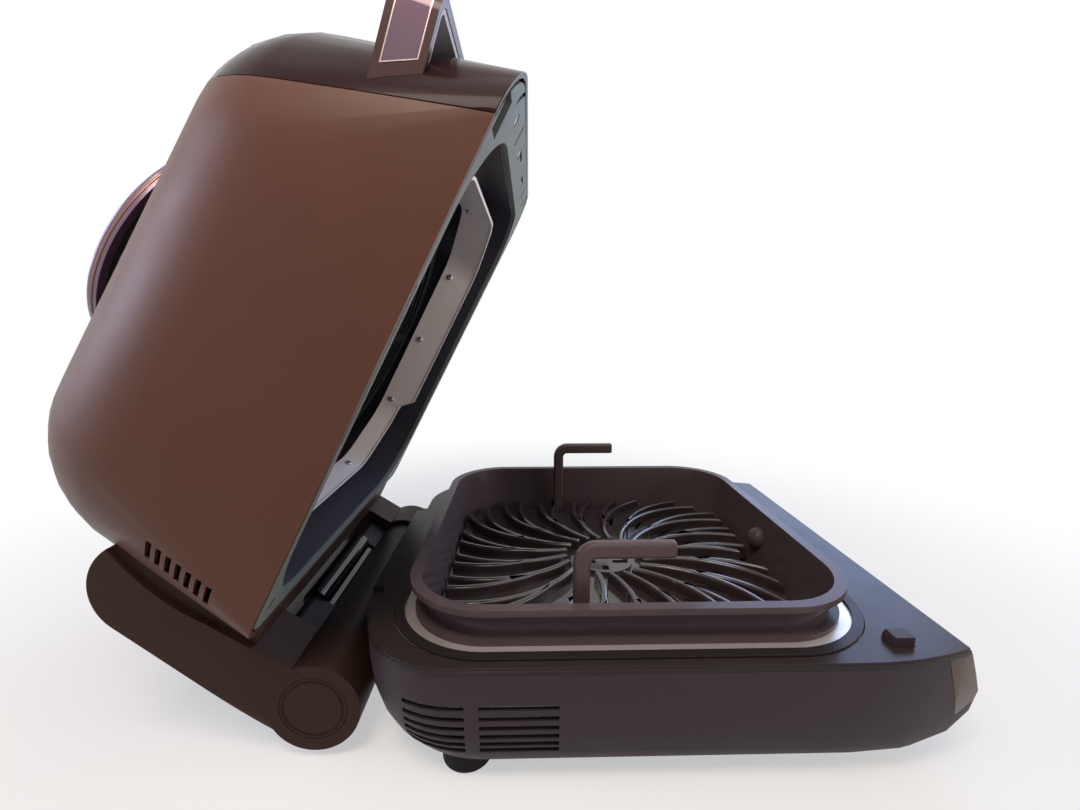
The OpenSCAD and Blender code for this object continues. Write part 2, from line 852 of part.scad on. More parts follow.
module vent_grille() {
    windows = 36;
    color("#171414") in_lid() on_vent() difference() {
        union() {
            translate([0, 0, -6]) cylinder(r = vent_r, h = cap_gap + 6 - seat);
            translate([0, 0, seat]) cylinder(r = vent_r + 4, h = 1.4);
        }
        translate([0, 0, -7]) cylinder(r = vent_r - 3, h = cap_gap + 4);
        for (k = [0:windows - 1]) rotate(k * 360 / windows)
            translate([vent_r - 8, -4, 2.6]) cube([20, 8, cap_gap - 5]);
        for (r = [20, 32, 44, 56, 68]) translate([0, 0, -7]) difference() {
            cylinder(r = r + 4, h = 40);
            cylinder(r = r, h = 40);
            for (a = [0, 45, 90, 135]) rotate(a) translate([-100, -2.5, 0]) cube([200, 5, 40]);
        }
    }
}

module vent_cap() {
    edge = 3;
    color("#55434d") in_lid() on_vent() translate([0, 0, cap_gap]) rotate_extrude() {
        square([cap_r - edge, cap_t]);
        square([cap_r, cap_t - edge]);
        translate([cap_r - edge, cap_t - edge]) circle(edge);
    }
}

// Opening of the lid's underside
module frame_opening(grow) {
    r = pot_corner_r + (frame_open_w - pot_w) / 2;
    round_ends(frame_open_w / 2 + grow, -frame_open_front - grow, frame_open_rear + grow, r + grow,
               r + grow);
}

// Plan of the black cavity, a step inside the frame's opening
module cavity_outline(grow) {
    frame_opening((cavity_w - frame_open_w) / 2 + grow);
}

frame_screw_places = [
    for (x = [-1, 1], p = [[100, -frame_open_front - 12], [40, -frame_open_front - 13],
                           [frame_open_w / 2 - 7, frame_open_rear - 11]])
        [x * p[0], p[1]]
];

module lid_frame() {
    color("#59625f") in_lid() difference() {
        translate([0, 0, lid_z]) linear_extrude(frame_t) difference() {
            lid_outline(lid_wall + frame_gap, frame_t);
            frame_opening(0);
            for (p = frame_screw_places) translate(p) circle(d = 3.4);
            both_sides() {
                translate([70, -frame_open_front - 20]) square([3, 12]);
                translate([20, -frame_open_front - 16]) square([18, 2.5]);
                translate([lid_w / 2 - 6.4, -60]) square([1.6, 90]);
            }
            both_sides() intersection() {
                translate([90, -frame_open_front + 10]) difference() {
                    circle(40);
                    circle(37);
                }
                translate([96, -big - frame_open_front - 2]) square([24, big]);
            }
        }
        for (p = frame_screw_places)
            translate([p[0], p[1], lid_z - 1]) cylinder(d = 7, h = 2.8);
        translate([plunger_x - plunger_w / 2 - 3, plunger_y - plunger_l / 2 - 3, lid_z - 1])
            cube([plunger_w + 6, plunger_l + 6, frame_t + 2]);
    }
}

module lid_frame_screws() {
    color("#77797b") in_lid() for (p = frame_screw_places) translate([p[0], p[1], lid_z + 0.4]) {
        cylinder(d = 6.2, h = 1.4 - seat / 2);
        cylinder(d = 3, h = 10);
    }
}

module cavity_liner() {
    color("#15161a") in_lid() difference() {
        union() {
            translate([0, 0, liner_seat_z]) linear_extrude(1.2) difference() {
                frame_opening(2.4);
                cavity_outline(-0.5);
            }
            translate([0, 0, liner_seat_z]) linear_extrude(ceiling_z - liner_seat_z) cavity_outline(1);
        }
        translate([0, 0, liner_seat_z - 1]) linear_extrude(ceiling_z - liner_seat_z) cavity_outline(0);
        translate([0, 0, ceiling_z - 5]) cylinder(d = shaft_d + 8, h = 10);
        both_sides() translate([14, heater_w / 2, ceiling_z - 5]) cylinder(d = heater_d + 1, h = 10);
        translate([plunger_x - plunger_w / 2 - 3, plunger_y - plunger_l / 2 - 3, liner_seat_z - 1])
            cube([plunger_w + 6, plunger_l + 6, 3]);
    }
}

// Square with its corners cut off
module cut_corners(w, c) {
    h = w / 2;
    polygon([
        [h, h - c], [h - c, h], [c - h, h], [-h, h - c],
        [-h, c - h], [c - h, -h], [h - c, -h], [h, c - h]
    ]);
}

module reflector_band() {
    color("#a59c94") in_lid() difference() {
        union() {
            translate([0, 0, reflector_z]) linear_extrude(reflector_h) difference() {
                cut_corners(reflector_w, reflector_chamfer);
                cut_corners(reflector_w - 2, reflector_chamfer - 0.6);
            }
            translate([0, 0, reflector_z + reflector_h - 1]) linear_extrude(1) difference() {
                cavity_outline(-seat);
                cut_corners(reflector_w - 1, reflector_chamfer - 0.3);
            }
        }
        translate([-big / 2, reflector_step, reflector_z - 1])
            cube([big, big, reflector_drop + reflector_lift + 1]);
    }
}

module reflector_screws() {
    z = reflector_z + reflector_h - 8;
    h = reflector_w / 2 - 1 - seat / 2;
    color("#c9c6c2") in_lid() for (a = [0, 90, 180, 270], s = [-70, 0, 70]) rotate(a)
        translate([h, s, z]) rotate([0, -90, 0]) cylinder(d1 = 5.4, d2 = 4, h = 1.6);
}

module heating_element() {
    half = heater_w / 2;
    bend = 45;
    gap = 14;
    color("#4a4644") in_lid() translate([0, 0, heater_z]) {
        for (a = [0, 90, 180, 270]) rotate(a) {
            translate([half - bend, half - bend, 0])
                rotate_extrude(angle = 90) translate([bend, 0]) circle(heater_r);
            if (a != 0)
                translate([bend - half, half, 0]) rotate([0, 90, 0])
                    cylinder(r = heater_r, h = heater_w - 2 * bend);
        }
        both_sides() {
            translate([gap, half, 0]) rotate([0, 90, 0]) cylinder(r = heater_r, h = half - bend - gap);
            translate([gap, half, 0]) sphere(heater_r);
            translate([gap, half, 0]) cylinder(r = heater_r, h = ceiling_z - heater_z + 12);
        }
    }
}

module element_clips() {
    color("#8d8a86") in_lid() for (a = [90, 180, 270]) rotate(a)
        translate([-5, heater_w / 2, 0]) difference() {
            translate([0, -heater_r - 2, heater_z - heater_r - 2])
                cube([10, heater_d + 4, ceiling_z - 1 - seat - heater_z + heater_r + 2]);
            translate([-1, 0, heater_z]) rotate([0, 90, 0]) cylinder(r = heater_r + fit, h = 12);
            translate([-1, -heater_r - fit, heater_z]) cube([12, heater_d + 2 * fit, 4]);
        }
}

module fan_guard() {
    post_r = guard_r - 6;
    color("#8e8a85") in_lid() difference() {
        union() {
            translate([0, 0, guard_z]) cylinder(r = guard_r, h = guard_t);
            for (a = [45, 135, 225, 315]) rotate(a)
                translate([post_r, 0, guard_z]) cylinder(d = 6, h = ceiling_z - 1 - seat - guard_z);
        }
        for (r = [22:11:88]) translate([0, 0, guard_z - 1]) difference() {
            cylinder(r = r + 6, h = guard_t + 2);
            translate([0, 0, -1]) cylinder(r = r, h = guard_t + 4);
            for (a = [0, 60, 120]) rotate(a)
                translate([-guard_r, -3, -1]) cube([2 * guard_r, 6, guard_t + 4]);
        }
    }
}

module motor_bracket() {
    leg_r = 42;
    color("#9a9a9c") in_lid() difference() {
        union() {
            translate([0, 0, motor_z - 2]) cylinder(r = leg_r + 6, h = 2);
            for (a = [45, 135, 225, 315]) rotate(a)
                translate([leg_r, 0, ceiling_z]) cylinder(d = 8, h = motor_z - ceiling_z - 1);
        }
        translate([0, 0, ceiling_z]) cylinder(d = shaft_d + 10, h = 40);
    }
}

module motor() {
    color("#6e6e72") in_lid() difference() {
        union() {
            translate([0, 0, motor_z]) cylinder(d = motor_d, h = motor_len);
            translate([0, 0, motor_z + 6]) cylinder(d = motor_d + 4, h = motor_len - 14);
            translate([0, 0, motor_z + motor_len - eps]) cylinder(d = 22, h = 4);
        }
        translate([0, 0, motor_z - 1]) cylinder(d = shaft_d + 2 * run_gap, h = motor_len + 10);
    }
}

shaft_low = guard_z + guard_t + 2;
fan_hub_z = shaft_low + 3;
cooler_z = motor_z + motor_len + 7;

module motor_shaft() {
    color("#b5b5b8") in_lid()
        translate([0, 0, shaft_low]) cylinder(d = shaft_d, h = cooler_z + 8 - shaft_low);
}

module circulation_fan() {
    blades = 12;
    hub_h = 16;
    color("#77726d") in_lid() translate([0, 0, fan_hub_z]) difference() {
        union() {
            cylinder(d = 24, h = hub_h);
            translate([0, 0, hub_h - 1.6]) cylinder(r = fan_r, h = 1.6);
            for (k = [0:blades - 1]) rotate(k * 360 / blades)
                translate([11, 0, 2]) rotate(20) cube([fan_r - 15, 1.4, hub_h - 3]);
        }
        translate([0, 0, -1]) cylinder(d = shaft_d, h = hub_h + 2);
    }
}

module fan_nut() {
    color("#a8a8aa") in_lid() translate([0, 0, fan_hub_z - 4]) difference() {
        cylinder(d = 14, h = 4, $fn = 6);
        translate([0, 0, -1]) cylinder(d = shaft_d, h = 6);
    }
}

module cooling_fan() {
    blades = 9;
    blade_len = 34;
    color("#2d2d30") in_lid() translate([0, 0, cooler_z]) difference() {
        union() {
            cylinder(d = 20, h = 8);
            for (k = [0:blades - 1]) rotate(k * 360 / blades)
                translate([8, 0, 4]) rotate([35, 0, 0])
                    translate([0, -7, -0.7]) cube([blade_len, 14, 1.4]);
        }
        translate([0, 0, -1]) cylinder(d = shaft_d, h = 10);
    }
}

// Side outline of the rear bracket: hinge boss below, rounded head against the lid's rear
bracket_head = [hinge_y - 26, lid_z + 70];
bracket_head_r = 29.5;

// Parting line on the bracket's side: up from the boss, then curving over towards the lid
parting_line = concat(
    [[hinge_y - 17, hinge_z], [hinge_y - 17, lid_z - 30]],
    [for (rise = [0:8:72]) [hinge_y - 23 - rise * rise / 240, lid_z + 30 + rise]]
);

module bracket_profile(inset) {
    taper_link([hinge_y, hinge_z], boss_r - inset, bracket_head, bracket_head_r - inset);
}

// Plan of the bracket with round rear corners
module bracket_plan(inset) {
    round_ends(arm_out - inset, lid_rear - 60, hinge_y + boss_r + 12 - inset, 2, 24 - inset);
}

// Outer part of the bracket, behind the parting line on its side
module bracket_cover() {
    along_x(-arm_out, arm_out) intersection() {
        bracket_profile(0);
        polygon(concat(parting_line, [[hinge_y + 80, big], [hinge_y + 80, hinge_z]]));
    }
}

// Drawn-in neck that joins the cover to the lid's rear
module bracket_neck() {
    neck_in = 4;
    intersection() {
        along_x(neck_in - arm_out, arm_out - neck_in) bracket_profile(0);
        translate([-big / 2, 0, lid_z + seam]) cube(big);
    }
}

module hinge_bracket() {
    swing_r = norm(cover_p - [hinge_y, hinge_z]) + cover_r + 4;
    color("#3c2d26") in_lid() difference() {
        union() {
            intersection() {
                union() {
                    bracket_cover();
                    bracket_neck();
                }
                translate([0, 0, -50]) linear_extrude(big) bracket_plan(0);
            }
            along_x(-arm_out, arm_out) translate([hinge_y, hinge_z]) circle(boss_r);
        }
        intersection() {
            along_x(arm_wall - arm_out, arm_out - arm_wall) bracket_profile(arm_wall);
            translate([0, 0, lid_z + 2 * arm_wall]) linear_extrude(big) bracket_plan(2 * arm_wall);
        }
        lid_form(-seam, 0);
        translate([-arm_in, hinge_y, hinge_z]) rotate([0, 90, 0])
            cylinder(r = swing_r, h = 2 * arm_in);
        translate([-arm_in, hinge_y - 100, -50]) cube([2 * arm_in, 200, lid_z + 50]);
        both_sides() translate([0, hinge_y, hinge_z]) rotate([0, 90, 0]) {
            cylinder(d = pin_d + 6 + 2 * seat, h = pin_half + 1);
            translate([0, 0, arm_out - 4]) cylinder(d = hinge_cap_d + 2 * fit, h = 10);
        }
    }
}

module hinge_bush() {
    color("#c8b27a") in_lid()
        translate([arm_in + 1, hinge_y, hinge_z]) rotate([0, 90, 0]) difference() {
            cylinder(d = pin_d + 6, h = pin_half - arm_in - 2);
            translate([0, 0, -1]) cylinder(d = pin_d + 2 * run_gap, h = big);
        }
}

module hinge_cap() {
    color("#392b25") in_lid()
        translate([arm_out - 4 + seat, hinge_y, hinge_z]) rotate([0, 90, 0]) difference() {
            cylinder(d = hinge_cap_d, h = 4 - seat);
            translate([0, 0, 3]) difference() {
                cylinder(d = hinge_cap_d - 3, h = 2);
                translate([0, 0, -1]) cylinder(d = hinge_cap_d - 6, h = 4);
            }
        }
}

// Square slab of the pot's body at height z
module pot_slice(w, r, z) {
    translate([0, 0, z]) linear_extrude(eps) round_square(w, r);
}

// Tapered pot body of width w at its top, with a rounded floor edge
module pot_form(w, r, top, bottom, floor_r) {
    low_w = w - 2 * pot_taper;
    $fn = form_fn;
    hull() {
        pot_slice(w, r, top);
        pot_slice(low_w, r, bottom + floor_r);
        pot_slice(low_w - 2 * floor_r, r - floor_r, bottom);
    }
}

module cooking_pot() {
    wall_w = pot_w - 2 * lip_w;
    wall_r = pot_corner_r - lip_w;
    ledge_w = liner_w + 6;
    color("#2a2422") in_base() {
        difference() {
            union() {
                pot_form(wall_w, wall_r, rim_h - eps, pot_floor_z, pot_floor_r);
                translate([0, 0, rim_h - lip_h]) linear_extrude(lip_h) round_square(pot_w, pot_corner_r);
                translate([0, 0, flange_z + liner_t + seat]) linear_extrude(ledge_t)
                    round_square(ledge_w, pot_corner_r - (pot_w - ledge_w) / 2);
            }
            pot_form(wall_w - 2 * pot_wall, wall_r - pot_wall, rim_h + 1, pot_floor_z + pot_wall,
                     pot_floor_r);
        }
        intersection() {
            translate([0, -pot_inside(pot_boss_z) / 2, pot_boss_z]) sphere(pot_boss_r);
            translate([-pot_boss_r, -pot_inside(pot_boss_z) / 2 - 1, 0]) cube([2 * pot_boss_r, big, big]);
        }
    }
}

pot_boss_z = rim_h - pot_boss_drop;
grill_r = pot_corner_r - 5;
hub_r = 24;

// Plan of a curved band that starts at radius r0, leaves it at angle lead and bends clockwise
module arc_band(r0, lead, sweep, w) {
    reach = 2 * rib_curve_r;
    far = lead + 90;
    translate([r0 + rib_curve_r * sin(lead), -rib_curve_r * cos(lead)]) intersection() {
        difference() {
            circle(rib_curve_r + w / 2);
            circle(rib_curve_r - w / 2);
        }
        polygon([
            [0, 0],
            reach * [cos(far), sin(far)],
            1.4 * reach * [cos(far - sweep / 2), sin(far - sweep / 2)],
            reach * [cos(far - sweep), sin(far - sweep)]
        ]);
    }
}

lifter_x = grill_w / 2 - 4;
lifter_y = 37;

module grill_plate() {
    step = 360 / rib_count;
    foot_place = grill_w / 2 - 28;
    color("#241f20") in_base() {
        translate([0, 0, grill_z]) linear_extrude(grill_t) difference() {
            round_square(grill_w, grill_r);
            for (k = [0:rib_count - 1]) rotate((k + 0.25) * step) arc_band(78, 8, 18, 3);
            for (a = [0, 90], s = [-1, 1])
                rotate(a) translate([s * 13 - 6, -2.5]) square([12, 5]);
            lifter_slots();
        }
        translate([0, 0, grill_z + grill_t - eps]) linear_extrude(rib_h + eps) difference() {
            intersection() {
                for (k = [0:rib_count - 1]) rotate(k * step) {
                    arc_band(hub_r + 8, 30, 85, rib_w);
                    rotate(step / 2) arc_band(64, 14, 62, rib_w);
                }
                round_square(grill_w - 3, grill_r - 1.5);
            }
            lifter_slots();
        }
        translate([0, 0, grill_z + grill_t - eps]) difference() {
            cylinder(r = hub_r, h = 3);
            translate([0, 0, -1]) cylinder(r = hub_r - 4, h = 5);
        }
        for (x = [-1, 1], y = [-1, 1])
            translate([x * foot_place, y * foot_place, pot_floor_z + pot_wall + seat])
                cylinder(d = 12, h = grill_z - pot_floor_z - pot_wall);
    }
}

// Plan of the slots for the lifting handles, and of the notch that passes the pot's boss
module lifter_slots() {
    notch = pot_boss_r + 2;
    both_sides() translate([lifter_x - lifter_t - seat, lifter_y - lifter_bar - seat])
        square([lifter_t + 2 * seat, lifter_bar + 2 * seat]);
    translate([-notch, -grill_w / 2 - 10]) square([2 * notch, notch + 10]);
}

// Section of the lifting handles' bar
module lifter_section() {
    translate([-lifter_t / 2 + lifter_edge_r, 0]) square([lifter_t - 2 * lifter_edge_r, lifter_bar]);
    translate([-lifter_t / 2, lifter_edge_r]) square([lifter_t, lifter_bar - 2 * lifter_edge_r]);
    for (x = [-1, 1], y = [lifter_edge_r, lifter_bar - lifter_edge_r])
        translate([x * (lifter_t / 2 - lifter_edge_r), y]) circle(lifter_edge_r);
}

// Bent bar that lifts the grill plate out of the pot
module grill_lifter() {
    bend = lifter_bend_r + lifter_bar;
    bend_z = rim_h + lifter_rise - bend;
    color("#1d1a1b") in_base() translate([lifter_x - lifter_t / 2, lifter_y, 0]) {
        translate([0, -lifter_bar, grill_z]) linear_extrude(bend_z - grill_z) lifter_section();
        translate([0, -bend, bend_z]) rotate([90, 0, 90]) rotate_extrude(angle = 90)
            translate([lifter_bend_r, 0]) rotate(-90) lifter_section();
        translate([0, -bend, bend_z + lifter_bend_r]) rotate([90, 0, 0])
            linear_extrude(lifter_len - bend) lifter_section();
    }
}

base_shell();
base_floor();
deck();
well_trim();
well_liner();
control_panel();
display_window();
control_board();
foot(foot_places[0]);  // foot_front_left
foot(foot_places[1]);  // foot_front_right
foot(foot_places[2]);  // foot_rear_left
foot(foot_places[3]);  // foot_rear_right
interlock_switch();
interlock_plunger();
cord_gland();
hinge_pin();
hinge_cover();
base_screws();
lid_shell();
lid_fascia();
lid_frame();
cavity_liner();
reflector_band();
heating_element();
element_clips();
fan_guard();
motor();
motor_bracket();
vent_cap();
vent_grille();
hinge_bracket();
mirror([1, 0, 0]) hinge_cap();  // hinge_cap_left
hinge_cap();  // hinge_cap_right
mirror([1, 0, 0]) hinge_bush();  // hinge_bush_left
hinge_bush();  // hinge_bush_right
handle_bow();
handle_inlay();
handle_underside();
lid_frame_screws();
reflector_screws();
circulation_fan();
motor_shaft();
cooling_fan();
fan_nut();
cooking_pot();
grill_plate();
mirror([1, 0, 0]) grill_lifter();  // grill_lifter_left
grill_lifter();  // grill_lifter_right
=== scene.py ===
"""Dresses a countertop grill cooker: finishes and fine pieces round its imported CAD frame.

Lengths are in metres, in the frame's own axes: +Z up, -Y towards the user, +X to the user's right.
Pieces of the lid are modelled as if it were shut and then swung to the open angle. The scale of a
noise or of scattered cells is in lumps per metre.
"""

import json
import logging
import math
from collections.abc import Callable
from dataclasses import dataclass
from enum import Enum

import bpy
from mathutils import Matrix, Vector

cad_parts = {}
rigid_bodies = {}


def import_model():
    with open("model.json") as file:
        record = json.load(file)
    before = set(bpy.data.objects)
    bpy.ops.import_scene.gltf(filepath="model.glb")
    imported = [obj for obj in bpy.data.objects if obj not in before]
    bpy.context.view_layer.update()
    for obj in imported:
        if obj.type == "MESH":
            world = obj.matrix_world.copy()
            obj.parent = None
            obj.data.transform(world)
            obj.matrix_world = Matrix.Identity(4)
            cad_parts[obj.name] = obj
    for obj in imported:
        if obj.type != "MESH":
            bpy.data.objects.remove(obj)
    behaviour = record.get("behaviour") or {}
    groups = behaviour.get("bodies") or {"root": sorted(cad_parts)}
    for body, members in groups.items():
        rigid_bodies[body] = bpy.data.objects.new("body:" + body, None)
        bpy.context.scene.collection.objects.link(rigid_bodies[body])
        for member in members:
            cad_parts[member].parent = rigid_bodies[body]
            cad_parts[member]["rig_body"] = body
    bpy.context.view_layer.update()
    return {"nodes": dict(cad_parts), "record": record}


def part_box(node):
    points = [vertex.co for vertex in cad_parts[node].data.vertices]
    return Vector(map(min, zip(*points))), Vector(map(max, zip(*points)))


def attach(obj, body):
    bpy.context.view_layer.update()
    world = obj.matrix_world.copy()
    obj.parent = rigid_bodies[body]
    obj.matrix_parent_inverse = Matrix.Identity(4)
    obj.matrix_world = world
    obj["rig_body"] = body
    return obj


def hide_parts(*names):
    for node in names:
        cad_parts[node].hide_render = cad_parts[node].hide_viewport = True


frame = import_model()
LOG = logging.getLogger("cooker")
Shade = tuple[float, float, float, float]
Triple = tuple[float, float, float]
Span = tuple[float, float]
Piece = bpy.types.Object

SIDES = ("left", "right")
WHITE: Shade = (1.0, 1.0, 1.0, 1.0)
# Lengths closer than this count as equal.
NEAR = 0.0001
# A direction faces an axis above the first share of it, and lies square to it below the second.
FACING = 0.9
LEVEL = 0.1


def shade(code: str) -> Shade:
    """Turns a web colour code into a linear colour, by the sRGB curve.

    Args:
        code: Colour such as "#4a352b".

    Returns:
        Red, green, blue and alpha, linear.
    """
    parts = [int(code[k:k + 2], 16) / 255 for k in (1, 3, 5)]
    linear = [c / 12.92 if c <= 0.04045 else ((c + 0.055) / 1.055) ** 2.4 for c in parts]
    return (linear[0], linear[1], linear[2], 1.0)


def toned(colour: Shade, factor: float) -> Shade:
    """Returns a colour made lighter or darker by a factor."""
    red, green, blue = (min(part * factor, 1.0) for part in colour[:3])
    return (red, green, blue, 1.0)


class Signal:
    """A node's output that takes part in Python arithmetic by adding Math nodes."""

    def __init__(self, sheet: "Sheet", socket: bpy.types.NodeSocket) -> None:
        """Keeps the sheet and the socket."""
        self.sheet = sheet
        self.socket = socket

    def _math(self, operation: str, first: "Signal | float", second: "Signal | float") -> "Signal":
        """Adds one Math node and returns its result."""
        return self.sheet.add("ShaderNodeMath", {"operation": operation}, {0: first, 1: second})

    def __add__(self, other: "Signal | float") -> "Signal":
        """Sum."""
        return self._math("ADD", self, other)

    __radd__ = __add__

    def __sub__(self, other: "Signal | float") -> "Signal":
        """Difference."""
        return self._math("SUBTRACT", self, other)

    def __rsub__(self, other: float) -> "Signal":
        """Difference with a number on the left."""
        return self._math("SUBTRACT", other, self)

    def __mul__(self, other: "Signal | float") -> "Signal":
        """Product."""
        return self._math("MULTIPLY", self, other)

    __rmul__ = __mul__

    def __or__(self, other: "Signal") -> "Signal":
        """Larger of two masks."""
        return self._math("MAXIMUM", self, other)


class Sheet:
    """The node tree of one material or of the sky."""

    # The Mix node's colour sockets go by index, because their names repeat.
    MIX_FACTOR, MIX_FIRST, MIX_SECOND, MIX_RESULT = 0, 6, 7, 2
    MIX_SETTINGS: dict = {"data_type": "RGBA", "clamp_factor": True}

    def __init__(self, owner: "bpy.types.Material | bpy.types.World") -> None:
        """Starts with an empty tree.

        Args:
            owner: The material or world that holds the tree.
        """
        self.owner = owner
        owner.use_nodes = True
        self.tree = owner.node_tree
        self.tree.nodes.clear()
        self._place: Signal | None = None

    def add(self, kind: str, settings: dict | None = None, sockets: dict | None = None,
            output: int | str = 0) -> Signal:
        """Adds one node.

        Args:
            kind: The node's type.
            settings: Attributes to set first; "stops" sets a ramp's positions and colours.
            sockets: Values or signals for the inputs, by name or index.
            output: The output to hand back.

        Returns:
            The chosen output, or the first input of a node that has no output.
        """
        node = self.tree.nodes.new(kind)
        for key, value in (settings or {}).items():
            if key == "stops":
                while len(node.color_ramp.elements) < len(value):
                    node.color_ramp.elements.new(1.0)
                for stop, (place, colour) in zip(node.color_ramp.elements, value):
                    stop.position = place
                    stop.color = colour
            else:
                setattr(node, key, value)
        for key, value in (sockets or {}).items():
            if isinstance(value, Signal):
                self.tree.links.new(value.socket, node.inputs[key])
            else:
                node.inputs[key].default_value = value
        return Signal(self, node.outputs[output] if len(node.outputs) else node.inputs[0])

    def place(self) -> Signal:
        """Reads the point on the piece, with one node for the whole tree.

        Returns:
            The point, in the frame's axes.
        """
        if self._place is None:
            self._place = self.add("ShaderNodeTexCoord", output="Object")
        return self._place

    def turned(self, scale: Triple, tilt: float = 0.0) -> Signal:
        """Returns the point stretched by scale and turned about X by tilt degrees."""
        sockets = {"Vector": self.place(), "Rotation": (math.radians(tilt), 0, 0), "Scale": scale}
        return self.add("ShaderNodeMapping", {"vector_type": "POINT"}, sockets)

    def noise(self, scale: float, detail: float = 2.0, where: Signal | None = None) -> Signal:
        """Returns soft noise from 0 to 1, read at a given point or at the piece's own."""
        sockets = {"Vector": where or self.place(), "Scale": scale, "Detail": detail}
        return self.add("ShaderNodeTexNoise", {"noise_dimensions": "3D"}, sockets)

    def cells(self, scale: float, where: Signal | None = None) -> Signal:
        """Returns the distance to the nearest of many scattered points."""
        sockets = {"Vector": where or self.place(), "Scale": scale}
        return self.add("ShaderNodeTexVoronoi", {"feature": "F1"}, sockets, "Distance")

    def along(self, direction: Triple) -> Signal:
        """Returns how far the point lies along a direction."""
        sockets = {0: self.place(), 1: direction}
        return self.add("ShaderNodeVectorMath", {"operation": "DOT_PRODUCT"}, sockets, "Value")

    def step(self, value: Signal, low: float, high: float) -> Signal:
        """Makes a smooth rise.

        Args:
            value: The signal to read.
            low: Where the rise begins.
            high: Where it ends; below low, it falls instead.

        Returns:
            0 on low's side and 1 on high's side.
        """
        start, end, first, last = (low, high, 0.0, 1.0) if low < high else (high, low, 1.0, 0.0)
        sockets = {"Value": value, "From Min": start, "From Max": end, "To Min": first, "To Max": last}
        return self.add("ShaderNodeMapRange", {"interpolation_type": "SMOOTHSTEP"}, sockets)

    def blend(self, factor: Signal, first: "Signal | Shade", second: "Signal | Shade") -> Signal:
        """Returns a colour between two: the first where the factor is 0, the second where it is 1."""
        sockets = {self.MIX_FACTOR: factor, self.MIX_FIRST: first, self.MIX_SECOND: second}
        return self.add("ShaderNodeMix", self.MIX_SETTINGS, sockets, self.MIX_RESULT)

    def bump(self, height: Signal, depth: float, strength: float, under: Signal | None = None) -> Signal:
        """Bends the normal by a height.

        Args:
            height: Height from 0 to 1.
            depth: Real depth of that height.
            strength: Share of the effect.
            under: A normal that this one lies on.

        Returns:
            The bent normal.
        """
        sockets: dict = {"Height": height, "Distance": depth, "Strength": strength}
        if under is not None:
            sockets["Normal"] = under
        return self.add("ShaderNodeBump", {}, sockets)

    def background(self) -> Signal:
        """Finds the rays that show the background: straight, mirrored or through glass.

        Returns:
            1 for those rays and 0 for the others.
        """
        straight = self.add("ShaderNodeLightPath", output="Is Camera Ray")
        mirrored = self.add("ShaderNodeLightPath", output="Is Glossy Ray")
        through = self.add("ShaderNodeLightPath", output="Is Transmission Ray")
        return straight | mirrored | through

    def surface(self, sockets: dict) -> None:
        """Ends the tree in a Principled surface with those inputs."""
        body = self.add("ShaderNodeBsdfPrincipled", {}, sockets)
        self.add("ShaderNodeOutputMaterial", {}, {"Surface": body})


@dataclass(frozen=True)
class Finish:
    """A finish that can be made into a material."""

    name: str
    colour: str

    def dress(self, sheet: Sheet) -> None:
        """Fills the sheet; each kind of finish has its own."""
        raise NotImplementedError

    def material(self) -> bpy.types.Material:
        """Makes this finish's material on first use, under a name that no CAD material has.

        Returns:
            The material.
        """
        label = f"{self.name}_finish"
        found = bpy.data.materials.get(label)
        if found is None:
            found = bpy.data.materials.new(label)
            self.dress(Sheet(found))
        return found


@dataclass(frozen=True)
class MouldedPlastic(Finish):
    """Matte moulded plastic with a fine spark-eroded grain and a little dust."""

    roughness: float = 0.5
    specular: float = 0.3
    grain: float = 1700.0
    depth: float = 0.00005
    mottle: float = 0.08
    dust: float = 0.2
    dust_colour: str = "#8d8580"
    clouds: float = 9.0
    smudges: float = 46.0
    smudge_gloss: float = 0.14
    grain_gloss: float = 0.1
    specks: float = 150.0
    speck_edge: Span = (0.035, 0.015)
    patches: float = 24.0
    patch_edge: Span = (0.52, 0.66)

    def dress(self, sheet: Sheet) -> None:
        """Gives cloudy colour, grain in the normal, smudges in the gloss and pale specks.

        Args:
            sheet: The node tree to fill.
        """
        base = shade(self.colour)
        smudge = sheet.noise(self.smudges, 4.0)
        grain = sheet.noise(self.grain)
        pits = sheet.cells(self.grain * 0.7)
        cloud = sheet.noise(self.clouds, 3.0) * 0.7 + smudge * 0.3
        tone = sheet.blend(cloud, toned(base, 1 - self.mottle), toned(base, 1 + self.mottle))
        speck = sheet.step(sheet.cells(self.specks), *self.speck_edge)
        patch = sheet.step(sheet.noise(self.patches), *self.patch_edge)
        gloss = self.roughness + (smudge - 0.5) * self.smudge_gloss + (grain - 0.5) * self.grain_gloss
        sheet.surface({
            "Base Color": sheet.blend(speck * patch * self.dust, tone, shade(self.dust_colour)),
            "Roughness": gloss,
            "Specular IOR Level": self.specular,
            "Normal": sheet.bump(grain * 0.6 + pits * 0.6, self.depth, 0.5),
        })


